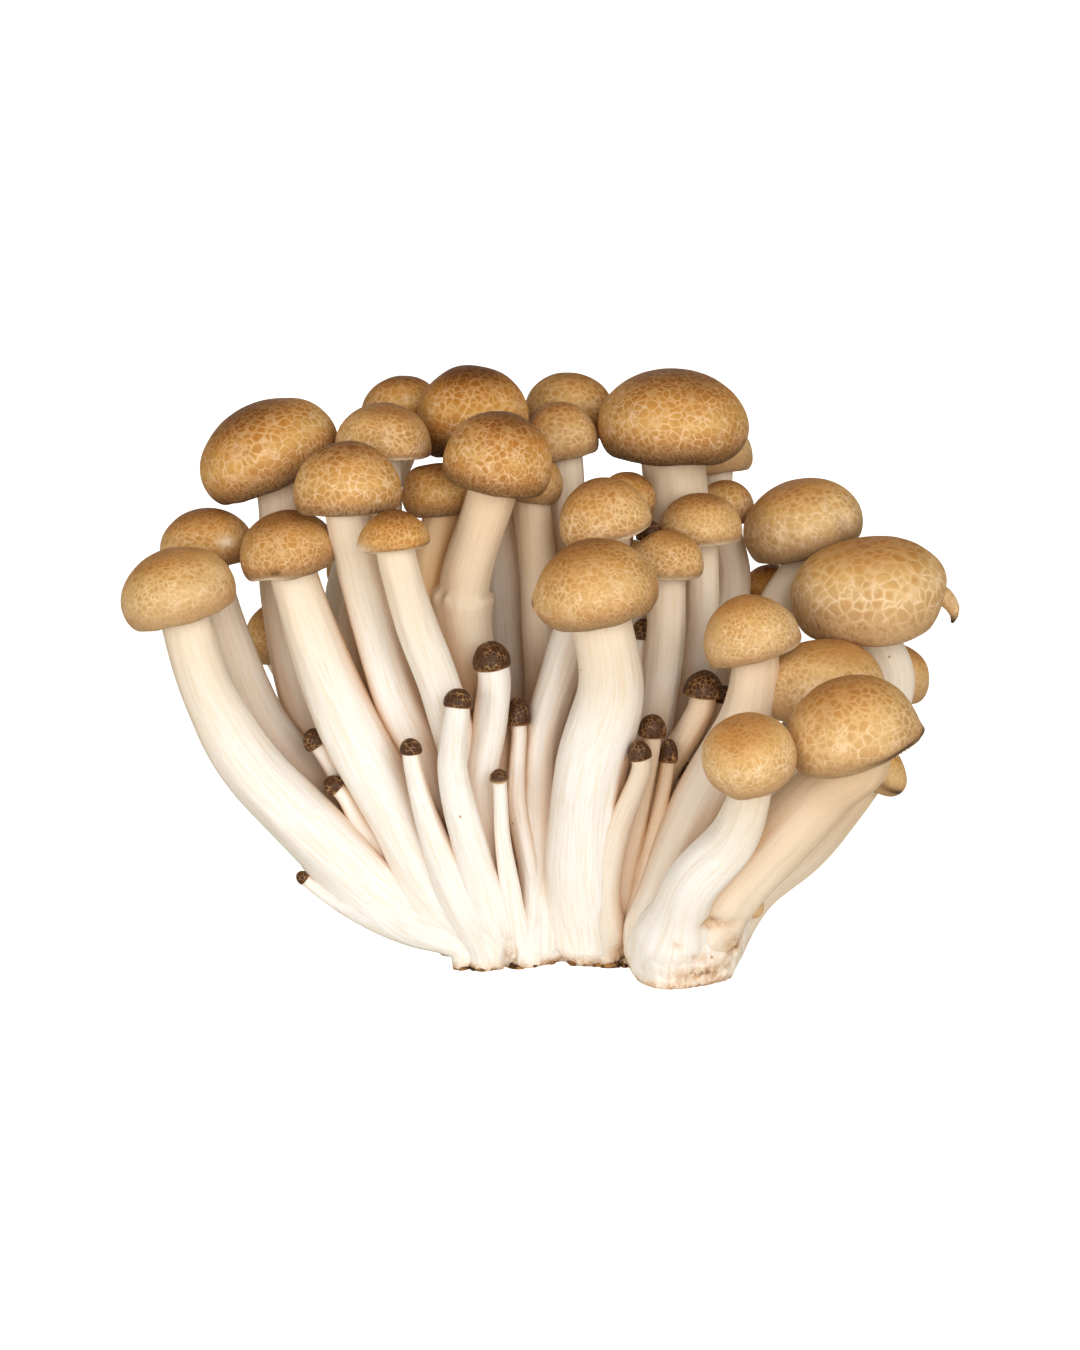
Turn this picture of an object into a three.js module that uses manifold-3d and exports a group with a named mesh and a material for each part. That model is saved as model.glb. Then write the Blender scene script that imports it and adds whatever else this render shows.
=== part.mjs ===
// A cluster of brown beech mushrooms as it is cut from its block: white stems that are fused at a common
// butt, round brown caps on the grown ones and dark buttons on the young ones. It stands on its cut base.
// Millimetres, +Z up. The front looks towards -Y, and the origin is on the cut face under the middle.
import * as THREE from "three";
import { mergeVertices } from "three/addons/utils/BufferGeometryUtils.js";
import Module from "manifold-3d";

const wasm = await Module();
wasm.setup();

// The front view in which the mushrooms are laid out: it looks down a little from a fixed distance.
const VIEW_TILT = THREE.MathUtils.degToRad(10);
const VIEW_DISTANCE = 620;
const VIEW_HEIGHT = 44.5;

// What is common to all caps and stems.
const CAP_GAP = 0.3;
const CAP_SIDES = { large: 16, small: 12, button: 8 };
const LARGE_CAP_RADIUS = 6.5;
const STEM_SIDES = { grown: 7, button: 6 };
const STEM_RINGS = { grown: 6, button: 5 };
const FOOT_RISE = 3;
const NECK_SHARE = 0.45;
const SOCKET_MARGIN = 0.5;
const WIDEST_SHARE = 0.34;
const RIM_SHARE = 0.76;
const GILL_DEPTH_SHARE = 0.06;
const LUMP_SHARE = 0.025;

const COLOURS = {
  cap: { color: 0xb98545, roughness: 0.5, metalness: 0 },
  button: { color: 0x4a3322, roughness: 0.6, metalness: 0 },
  stem: { color: 0xf3ebdd, roughness: 0.7, metalness: 0 },
};

// Each grown mushroom. cap is the middle of its cap as the front view shows it: across to the right, up, and
// back along the line of sight. size is the cap's radius and height, lean the tilt of its axis in degrees to
// the right and to the front, root the middle of the stem's foot on the cut face, stem its radius at the
// foot, in the body and under the cap, and via the places across and up that the stem passes on its way, with
// any extra depth. A tongue is torn skin that stands out from the rim.
const GROWN = {
  left_1: {
    cap: [-54.8, 13.9, -9.5], size: [8.6, 9.9], lean: [-14, 5], root: [-11, 0], stem: [3.2, 4.9, 3.6],
    via: [[-21.5, -34.5], [-32, -25.2], [-43, -14], [-50, -2.3]],
  },
  left_2: {
    cap: [-50.2, 20.8, 4], size: [7, 8.6], lean: [-8, 0], root: [-13.5, 6], stem: [2.6, 3.2, 2.8],
    via: [[-33.5, -16.5], [-41.4, -6], [-46.2, 5.3]],
  },
  left_3: {
    cap: [-38.2, 20.1, -7], size: [7.3, 8.9], lean: [-12, 5], root: [-8, -1.5], stem: [3.4, 4.9, 3.6],
    via: [[-15, -32.3], [-23.3, -17.3], [-31.5, -0.8]],
  },
  left_4: {
    cap: [-41.5, 34.8, 4.5], size: [10.7, 12], lean: [-24, 5], root: [-12, 12], stem: [2.8, 3.8, 4],
    via: [[-32.3, -11.3], [-36, -0.8], [-38, 11.3]],
  },
  left_5: {
    cap: [-29, 29.9, -12], size: [8, 10.2], lean: [-3, 0], root: [-8, 5.5], stem: [2.8, 3.8, 3.3],
    via: [[-16.5, -14.3], [-21.8, -2.3], [-26, 12.8, 2]],
  },
  left_6: {
    cap: [-23.4, 36.9, -1.5], size: [7.3, 7.8], lean: [2, 0], root: [-7, 11.5], stem: [2.6, 3.2, 2.9],
    via: [[-18, -15], [-27.3, 4], [-24, 20]],
  },
  left_7: {
    cap: [-22, 22.1, -19.5], size: [5, 5.4], lean: [-6, 5], root: [-5, 5], stem: [2.6, 3.2, 2.9],
    via: [[-14.3, -3.8], [-18.8, 8.3]],
  },
  left_8: {
    cap: [-39.6, 6.5, 22], size: [5, 9], lean: [-5, 0], root: [-10, 16], stem: [2, 2.4, 2.2],
    via: [],
  },
  middle_1: {
    cap: [-20.7, 40.8, 18.5], size: [6.3, 8.5], lean: [-5, -5], root: [-8, 18], stem: [2.4, 3, 2.7],
    via: [[-26.5, 0], [-29.3, 11], [-25, 25]],
  },
  middle_2: {
    cap: [-10.2, 40.4, 7], size: [8.5, 12.3], lean: [-2, 0], root: [-3, 18], stem: [2.6, 3.6, 3.4],
    via: [[-5, 18]],
  },
  middle_3: {
    cap: [-6, 33.8, -10.5], size: [8.3, 11.3], lean: [10, 4], root: [-1.5, 6.5], stem: [2.6, 3.7, 3.7],
    via: [[-6, -12.8], [-10.8, 3.8], [-11.3, 12.8]],
  },
  middle_4: {
    cap: [-14.9, 28, -1.5], size: [5.2, 7.6], lean: [-5, 0], root: [-3, 12], stem: [2.5, 3.2, 3],
    via: [[-16.5, 11.3]],
  },
  middle_5: {
    cap: [-0.9, 29.6, 2], size: [4.5, 7], lean: [6, 0], root: [1.5, 9], stem: [2.4, 2.9, 2.8],
    via: [[0, 11.3]],
  },
  middle_6: {
    cap: [2.9, 36.8, 9.2], size: [5.6, 8.5], lean: [-12, 0], root: [4.5, 12], stem: [2.4, 2.8, 2.6],
    via: [],
  },
  middle_7: {
    cap: [4.6, 40.8, 21.5], size: [7, 9.5], lean: [8, -8], root: [3, 18], stem: [2.4, 2.8, 2.6],
    via: [],
  },
  middle_8: {
    cap: [20, 39.4, 9], size: [11.7, 13.2], lean: [1, 4], root: [9, 14], stem: [3, 4.2, 4.9],
    via: [[20.4, 22, 1]],
  },
  middle_9: {
    cap: [25.8, 33.9, 29], size: [6.2, 8], lean: [-8, -8], root: [9, 15.5], stem: [2.4, 2.8, 2.6],
    via: [],
  },
  middle_10: {
    cap: [9.3, 25.2, -7.5], size: [6.9, 8.7], lean: [-12, 4], root: [-0.8, 1], stem: [3.6, 3, 3.2],
    via: [[0, -26.3], [0.3, -9.8], [3.6, 2.3]],
  },
  middle_11: {
    cap: [7.9, 14.5, -21.5], size: [9.2, 11.4], lean: [-13, 5], root: [7.4, 1.5], stem: [4.6, 5.5, 4.3],
    via: [[6.1, -26.3], [7.5, -14.3], [10.8, -2.3]],
  },
  middle_12: {
    cap: [19.2, 18.5, -7.5], size: [5.4, 6.6], lean: [3, 4], root: [10, 8], stem: [2.3, 2.9, 2.9],
    via: [[17.3, -6.8], [18.8, 5.3]],
  },
  middle_13: {
    cap: [24, 23.7, 1.5], size: [6.4, 7.2], lean: [-3, 2], root: [14, 8], stem: [2.3, 2.8, 2.5],
    via: [[22.2, -2.3], [24.2, 8.3]],
  },
  middle_14: {
    cap: [27.9, 26.1, 21.5], size: [4.4, 6.5], lean: [4, -4], root: [15, 14], stem: [2.2, 2.7, 2.5],
    via: [[25, -4], [29.2, 14]],
  },
  middle_15: {
    cap: [13.4, 27.4, 3.2], size: [4.2, 6.2], lean: [14, 0], root: [4, 7], stem: [1.8, 2.2, 2],
    via: [],
  },
  right_1: {
    cap: [39, 24.1, 14.5], size: [9.5, 10.5], lean: [-15, 5], root: [20, 5], stem: [2.6, 3.5, 3.4],
    via: [[34.5, 7]],
  },
  right_2: {
    cap: [49.7, 14.1, 3], size: [12.1, 12.7], lean: [-4, 6], root: [26, 3], stem: [3, 3.5, 3.3],
    via: [[45, -17, 2], [52.8, -1, 1]], tongue: { at: 0, wide: 12, out: 0.1 },
  },
  right_3: {
    cap: [31, 7.7, -14], size: [7.1, 8.7], lean: [-15, 5], root: [17.5, -4.5], stem: [3.6, 4.3, 3.4],
    via: [[19, -32], [24, -19.5], [31, -6]],
  },
  right_4: {
    cap: [43.5, 0.2, -8], size: [8.5, 10], lean: [6, 5], root: [26, -2], stem: [3, 3.4, 3.4],
    via: [[38, -12, 5]],
  },
  right_5: {
    cap: [46.5, -6.3, -26.5], size: [9.9, 11.8], lean: [-15, 8], root: [23, -8], stem: [3.2, 4.8, 4.3],
    via: [[28.5, -32.4], [36, -24.3], [43, -17]],
  },
  right_6: {
    cap: [31.1, -11.1, -31.5], size: [6.9, 9], lean: [-12, 25], root: [19.5, -10], stem: [4.8, 4, 2.8],
    via: [[22.5, -32], [29, -24.5]],
  },
  right_7: {
    cap: [53.2, 0.8, 17.5], size: [5.8, 8.2], lean: [18, 0], root: [25, 9], stem: [2, 2.4, 2.3],
    via: [],
  },
  right_8: {
    cap: [49.8, -12.9, -7], size: [5.6, 6.8], lean: [28, 0], root: [26.5, -5], stem: [2.8, 3.3, 3],
    via: [[31.5, -33, 3], [40, -26, 3]],
  },
  back_1: {
    cap: [-27, 17, 29], size: [5.5, 7.5], lean: [-8, -14], root: [-6, 17.5], stem: [2.2, 2.7, 2.4],
    via: [],
  },
  back_2: {
    cap: [-9, 22, 31], size: [6, 8], lean: [-4, -16], root: [0, 18], stem: [2.2, 2.8, 2.6],
    via: [],
  },
  back_3: {
    cap: [13, 17, 33], size: [5.6, 7.2], lean: [5, -18], root: [6, 17], stem: [2.2, 2.7, 2.4],
    via: [],
  },
  back_4: {
    cap: [42, 0, 25], size: [5.6, 7.6], lean: [14, -10], root: [21, 12], stem: [2.2, 2.7, 2.4],
    via: [],
  },
  right_9: {
    cap: [34.8, 13.5, 25], size: [4.5, 6.5], lean: [6, 0], root: [20, 12], stem: [2, 2.3, 2.2],
    via: [],
  },
};

// Each young mushroom, with the same values as a grown one.
const BUTTONS = {
  1: { cap: [-7.4, 3.1, -9], size: [2.9, 4], lean: [-8, 5], root: [-4.8, 0.5], stem: [2.5, 3, 2.4],
    via: [[-7.2, -30.8], [-9.3, -17.3], [-7.5, -6.8]] },
  2: { cap: [-12.2, -3.4, -14], size: [2.2, 2.8], lean: [5, -5], root: [-6, -2], stem: [2.3, 2.7, 1.8],
    via: [[-9.8, -27.8], [-13.1, -14.3]] },
  3: { cap: [-19.4, -10.6, -9], size: [1.7, 2.2], lean: [-3, 5], root: [-8.6, -3.5], stem: [2, 2.2, 1.3],
    via: [[-12.8, -32.3], [-17.3, -20.3]] },
  4: { cap: [-3.4, -5.4, -3], size: [2, 4], lean: [-5, 0], root: [-1.8, -1.5], stem: [1.7, 1.6, 1.2],
    via: [[-1.5, -30.8], [-3.5, -18.8]] },
  5: { cap: [-6.2, -15, -8], size: [1.4, 1.8], lean: [-5, 15], root: [-3.2, -2], stem: [1.6, 1.4, 1],
    via: [[-4.1, -33.8], [-5.6, -24.8]] },
  6: { cap: [-34, -9.4, 1], size: [2, 2.8], lean: [-35, 0], root: [-9, 4], stem: [1.5, 1.7, 1.4],
    via: [[-27, -20]] },
  7: { cap: [-31.2, -16.3, 0], size: [1.6, 2.4], lean: [-45, 5], root: [-11, 2.5], stem: [1.5, 1.7, 1.2],
    via: [[-26, -24]] },
  8: { cap: [-38, -6.9, 19], size: [2, 2.8], lean: [-20, 0], root: [-13, 11], stem: [1.5, 1.6, 1.4],
    via: [] },
  9: { cap: [-35.8, -30.2, 2], size: [1.1, 1.6], lean: [-50, 5], root: [-12, -3.2], stem: [1.5, 2.3, 0.9],
    via: [[-20.5, -37.8], [-30, -34]] },
  10: { cap: [16.9, -7.5, -8.5], size: [2.1, 3.3], lean: [3, 5], root: [11.8, 0], stem: [2, 1.9, 1.4],
    via: [[12.3, -30.8], [15, -18.8]] },
  11: { cap: [14.8, -11.2, -12.5], size: [1.8, 2.8], lean: [-12, 5], root: [11, -1.6], stem: [2, 1.9, 1.4],
    via: [[9.9, -33.8], [11.7, -23.3]] },
  12: { cap: [19.3, -11.3, -6.5], size: [1.5, 3.4], lean: [5, 0], root: [13.6, -1.2], stem: [1.8, 1.4, 1.1],
    via: [[14.7, -35.3], [17, -24.8]] },
  13: { cap: [24.6, -1.1, -6], size: [3, 3.8], lean: [5, 5], root: [15, 0], stem: [2.3, 2.4, 2],
    via: [[15.2, -30.8], [17.2, -17.3], [22.6, -8]] },
  14: { cap: [15.6, 7, 1], size: [2, 3], lean: [0, 0], root: [8, 8], stem: [1.4, 1.5, 1.3],
    via: [] },
  15: { cap: [22.6, -14.6, 1], size: [2, 3], lean: [35, 0], root: [17, 2], stem: [1.4, 1.5, 1.3],
    via: [] },
  16: { cap: [27.6, -2.8, 1], size: [1.8, 2.6], lean: [8, 0], root: [18, 6], stem: [1.4, 1.5, 1.3],
    via: [] },
  17: { cap: [16.4, 21.8, 0.5], size: [2.1, 3], lean: [0, 0], root: [9, 11], stem: [1.4, 1.6, 1.4],
    via: [] },
  18: { cap: [32.4, -34.3, -3.2], size: [2, 2.4], lean: [66, 5], root: [26.5, -8], stem: [1.8, 1.8, 1.4],
    via: [] },
};

// The butt that the stems grow from: mounds on the cut face, with the middle, the half width and half depth
// and the height of each, and how far it stays clear of that face.
const MOUNDS = [
  { at: [-1, 9.5], half: [15, 10], height: 10 },
  { at: [17, 8.5], half: [12, 8.5], height: 9 },
  { at: [19.5, -8.5], half: [6, 8.4], height: 12 },
  { at: [23.6, -8], half: [6.3, 7.8], height: 10.5, rise: 2.5 },
];
const MOUND_SIDES = 12;
const MOUND_PROFILE = [[0, 0], [0.68, 0], [0.98, 0.34], [0.88, 0.72], [0.5, 0.95], [0, 1]];

const UP = new THREE.Vector3(0, 0, 1);
const DEPTH = new THREE.Vector3(0, 1, 0);
const SIGHT = new THREE.Vector3(0, Math.cos(VIEW_TILT), -Math.sin(VIEW_TILT));
const VIEW_UP = new THREE.Vector3(0, Math.sin(VIEW_TILT), Math.cos(VIEW_TILT));
const VIEW_MIDDLE = new THREE.Vector3(0, 0, VIEW_HEIGHT);
const GOLDEN_ANGLE = Math.PI * (3 - Math.sqrt(5));

// The point that the front view shows at a place across and up, at a depth back along the line of sight.
function seen(across, up, back) {
  const spread = 1 + back / VIEW_DISTANCE;
  return VIEW_MIDDLE.clone()
    .addScaledVector(new THREE.Vector3(1, 0, 0), across * spread)
    .addScaledVector(VIEW_UP, up * spread)
    .addScaledVector(SIGHT, back);
}

// How far a point lies back along the line of sight.
function backOf(point) {
  return point.clone().sub(VIEW_MIDDLE).dot(SIGHT);
}

// The axis of a cap that leans to the right and to the front.
function axisOf([right, front]) {
  const toRight = THREE.MathUtils.degToRad(right);
  const toFront = THREE.MathUtils.degToRad(front);
  return new THREE.Vector3(
    Math.sin(toRight),
    -Math.sin(toFront),
    Math.cos(toRight) * Math.cos(toFront),
  ).normalize();
}

// A closed geometry as a solid that can be joined and cut.
function solidOf(geometry) {
  const bare = new THREE.BufferGeometry().setAttribute("position", geometry.getAttribute("position"));
  const merged = mergeVertices(bare.setIndex(geometry.index), 1e-4);
  const triangles = [];
  for (let i = 0; i < merged.index.count; i += 3) {
    const corners = [0, 1, 2].map((k) => merged.index.getX(i + k));
    if (new Set(corners).size === 3) triangles.push(...corners);
  }
  return new wasm.Manifold(new wasm.Mesh({
    numProp: 3,
    vertProperties: merged.getAttribute("position").array,
    triVerts: new Uint32Array(triangles),
  }));
}

// A solid as a geometry.
function geometryOf(solid) {
  const mesh = solid.getMesh();
  const position = new THREE.BufferAttribute(new Float32Array(mesh.vertProperties), mesh.numProp);
  return new THREE.BufferGeometry()
    .setAttribute("position", position)
    .setIndex(new THREE.BufferAttribute(mesh.triVerts, 1));
}

// The height above the rim at which the stem meets a cap's underside.
function socketHeight({ size, young }) {
  return young ? 0 : WIDEST_SHARE * size[1];
}

// The points of a cap's profile, from the middle of its underside out to the rim and over the dome.
function capProfile({ size: [radius, height], stem, young }) {
  const widest = WIDEST_SHARE * height;
  const socket = socketHeight({ size: [radius, height], young });
  const socketRadius = stem[2] + SOCKET_MARGIN;
  const rim = RIM_SHARE * radius;
  const under = young
    ? [[0, 0.04 * height], [RIM_SHARE * radius, 0]]
    : [[0, socket + 0.04 * height], [socketRadius, socket], [(socketRadius + rim) / 2, socket / 2], [rim, 0]];
  const turn = young ? [] : [[(rim + 2 * radius) / 3, 0.11 * height]];
  const dome = (young ? [0, 35, 66, 90] : [0, 24, 48, 70, 90]).map((degrees) => {
    const angle = THREE.MathUtils.degToRad(degrees);
    return [radius * Math.cos(angle), widest + (height - widest) * Math.sin(angle)];
  });
  dome[dome.length - 1][0] = 0;
  return [...under, ...turn, ...dome].map(([out, rise]) => new THREE.Vector2(out, rise));
}

// How much further a torn tongue stands out at an angle round the cap, up to the widest line.
function tongueShare(tongue, angle, rise) {
  if (!tongue || rise > WIDEST_SHARE) return 0;
  const turned = angle - THREE.MathUtils.degToRad(tongue.at);
  const off = Math.atan2(Math.sin(turned), Math.cos(turned));
  return tongue.out * Math.exp(-((off / THREE.MathUtils.degToRad(tongue.wide)) ** 2));
}

// A cap about its own axis, with its middle at the origin: a lumpy turned dome, a rolled rim and gills.
function capGeometry(mushroom, phase, sides) {
  const { size: [radius, height], tongue, young } = mushroom;
  const profile = capProfile(mushroom);
  const cap = new THREE.LatheGeometry(profile, sides);
  const position = cap.getAttribute("position");
  const gillRow = young ? -1 : 2;
  const point = new THREE.Vector3();
  for (let i = 0; i < position.count; i++) {
    const row = i % profile.length;
    const column = Math.floor(i / profile.length) % sides;
    const angle = (column / sides) * 2 * Math.PI;
    const rise = profile[row].y / height;
    const lump = LUMP_SHARE * (Math.sin(2 * angle + phase) + 0.7 * Math.sin(3 * angle + 2 * phase));
    const inside = !young && row < gillRow + 1;
    const out = profile[row].x * (inside ? 1 : 1 + lump + tongueShare(tongue, angle, rise));
    const gill = row === gillRow ? (column % 2 ? 1 : -1) * GILL_DEPTH_SHARE * radius : 0;
    point.set(Math.cos(angle) * out, Math.sin(angle) * out, profile[row].y + gill - height / 2);
    position.setXYZ(i, point.x, point.y, point.z);
  }
  return cap;
}

// The line that a stem follows from its foot on the cut face, past the places it is seen at, up into its cap.
function stemCurve(mushroom) {
  const { cap, size, lean, root, via } = mushroom;
  const axis = axisOf(lean);
  const foot = new THREE.Vector3(root[0], root[1], 0);
  const middle = seen(...cap);
  const top = middle.clone().addScaledVector(axis, socketHeight(mushroom) - size[1] / 2 - CAP_GAP);
  const neck = top.clone().addScaledVector(axis, -NECK_SHARE * size[0]);
  const footBack = backOf(foot);
  const footUp = foot.clone().sub(VIEW_MIDDLE).dot(VIEW_UP);
  const passed = via.map(([across, up, further = 0]) => {
    const share = (up - footUp) / (cap[1] - footUp);
    return seen(across, up, THREE.MathUtils.lerp(footBack, cap[2], share) + further);
  });
  const rise = foot.clone().setZ(FOOT_RISE);
  return { curve: new THREE.CatmullRomCurve3([foot, rise, ...passed, neck, top]), axis };
}

// A stem: a round bar that swells from its foot to its body and narrows to its neck, bent along its line.
function stemGeometry(mushroom) {
  const { stem: [footRadius, bodyRadius, neckRadius], young } = mushroom;
  const { curve, axis } = stemCurve(mushroom);
  const kind = young ? "button" : "grown";
  const bar = new THREE.CylinderGeometry(1, 1, 1, STEM_SIDES[kind], STEM_RINGS[kind]);
  const position = bar.getAttribute("position");
  const point = new THREE.Vector3();
  for (let i = 0; i < position.count; i++) {
    point.fromBufferAttribute(position, i);
    const along = THREE.MathUtils.clamp(point.y + 0.5, 0, 1);
    const swell = THREE.MathUtils.lerp(footRadius, bodyRadius, THREE.MathUtils.smoothstep(along, 0, 0.35));
    const radius = THREE.MathUtils.lerp(swell, neckRadius, THREE.MathUtils.smoothstep(along, 0.45, 1));
    const ahead = along === 0 ? UP : along === 1 ? axis : curve.getTangentAt(along);
    const side = DEPTH.clone().addScaledVector(ahead, -DEPTH.dot(ahead)).normalize();
    const other = side.clone().cross(ahead);
    const place = curve.getPointAt(along)
      .addScaledVector(side, point.x * radius)
      .addScaledVector(other, point.z * radius);
    position.setXYZ(i, place.x, place.y, along === 0 ? 0 : place.z);
  }
  return bar;
}

// One mound of the butt.
function moundGeometry({ at, half, height, rise = 0 }) {
  const profile = MOUND_PROFILE.map(([out, rise]) => new THREE.Vector2(out, rise));
  return new THREE.LatheGeometry(profile, MOUND_SIDES)
    .rotateX(Math.PI / 2)
    .scale(half[0], half[1], height)
    .translate(at[0], at[1], rise);
}

const cluster = new THREE.Group();

// The caps, each turned about its own middle.
function addCap(name, mushroom, index) {
  const { cap, size, lean, young } = mushroom;
  const sides = young ? CAP_SIDES.button : size[0] < LARGE_CAP_RADIUS ? CAP_SIDES.small : CAP_SIDES.large;
  const material = new THREE.MeshStandardMaterial(young ? COLOURS.button : COLOURS.cap);
  const mesh = new THREE.Mesh(capGeometry(mushroom, index * GOLDEN_ANGLE, sides), material);
  mesh.name = name;
  mesh.position.copy(seen(...cap));
  mesh.quaternion.setFromUnitVectors(UP, axisOf(lean));
  cluster.add(mesh);
}

const mushrooms = [
  ...Object.entries(GROWN).map(([place, values]) => ["cap_" + place, values]),
  ...Object.entries(BUTTONS).map(([number, values]) => ["button_" + number, { ...values, young: true }]),
];
mushrooms.forEach(([name, mushroom], index) => addCap(name, mushroom, index));

// The stems and the butt, grown together into one body.
const white = [
  ...MOUNDS.map(moundGeometry),
  ...mushrooms.map(([, mushroom]) => stemGeometry(mushroom)),
];
const stems = new THREE.Mesh(
  geometryOf(wasm.Manifold.union(white.map(solidOf))),
  new THREE.MeshStandardMaterial(COLOURS.stem),
);
stems.name = "stems";
cluster.add(stems);

export default cluster;
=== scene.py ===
import math
import random

import bmesh
import bpy
import numpy as np
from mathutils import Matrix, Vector, noise


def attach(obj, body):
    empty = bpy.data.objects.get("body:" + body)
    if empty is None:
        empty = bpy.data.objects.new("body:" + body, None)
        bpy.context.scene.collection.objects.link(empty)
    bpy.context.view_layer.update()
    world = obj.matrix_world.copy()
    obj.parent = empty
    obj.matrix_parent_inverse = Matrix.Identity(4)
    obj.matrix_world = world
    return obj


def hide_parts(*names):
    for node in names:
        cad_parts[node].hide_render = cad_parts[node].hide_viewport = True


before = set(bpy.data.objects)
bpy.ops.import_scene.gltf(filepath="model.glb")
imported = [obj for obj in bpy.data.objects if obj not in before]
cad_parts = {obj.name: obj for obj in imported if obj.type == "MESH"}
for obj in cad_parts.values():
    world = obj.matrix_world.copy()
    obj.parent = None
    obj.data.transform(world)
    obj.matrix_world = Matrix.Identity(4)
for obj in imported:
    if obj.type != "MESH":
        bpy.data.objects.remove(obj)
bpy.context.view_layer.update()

MM = 0.001

# The photo's view: it looks down a little, and the frame is this tall at the middle of the object.
VIEW_TILT = math.radians(10)
VIEW_DISTANCE = 620 * MM
VIEW_MIDDLE = Vector((0, 0, 44.5 * MM))
FRAME_HEIGHT = 202.5 * MM
SENSOR_HEIGHT = 24.0
SIGHT = Vector((0, math.cos(VIEW_TILT), -math.sin(VIEW_TILT)))
VIEW_UP = Vector((0, math.sin(VIEW_TILT), math.cos(VIEW_TILT)))
RIGHT = Vector((1, 0, 0))
DEPTH = Vector((0, 1, 0))
UP = Vector((0, 0, 1))

# As in the solids: where a cap is widest and how wide its rim is, as shares of its height and radius, the gap
# between it and its stem, how far the stem runs straight below it, and how far a stem rises from its foot.
WIDEST = 0.34
RIM = 0.76
CAP_GAP = 0.3 * MM
NECK_SHARE = 0.45
FOOT_RISE = 3 * MM

# How far a foot draws in at the cut, as a share of its radius, and up to which height.
FOOT_TUCK = 0.3
TUCK_TOP = 3.5 * MM

# Places on a cap from the top (0) over the widest line (1) and the rolled rim to the lip and the gills.
RIM_PLACE = 1.4
LUMP_END = 1.45
SKIN_END = 1.48
LIP_PLACE = 1.5
GILL_PLACE = 2.0

# The lip and a button's roof for the cap's height, how bent a roof is, and a stem's most for the radius.
LIP = 0.05
YOUNG_ROOF = 0.08
ROOF_BEND = 0.8
NECK_MOST = 0.68

# Rows over a cap's dome, rolled rim, lip and roof, and points round a plain cap, a wide one and a button.
CAP_ROWS = (28, 10, 4, 6)
BUTTON_ROWS = (18, 6, 3, 3)
CAP_COLUMNS = 64
WIDE_COLUMNS = 84
WIDE_CAP = 8 * MM
BUTTON_COLUMNS = 40

# A cap's lumps for its radius, its fine dents, and its rim's waves: their place, reach, closeness and height.
LUMP_SIZE = 0.55
LUMP_HEIGHT = 0.022
DENT_SIZE = 2.2 * MM
DENT_HEIGHT = 0.045 * MM
WAVE_PLACE = 1.25
WAVE_REACH = 0.35
WAVES = 2.5
WAVE_HEIGHT = 0.03

# Steps that move the noise on from one cap, stem or mound to the next.
CAP_DRIFT = (3.7, 1.3, 2.1)
STEM_DRIFT = (5.3, 2.9, 1.7)
MOUND_DRIFT = (7.1, 3.3, 1.0)

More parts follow.
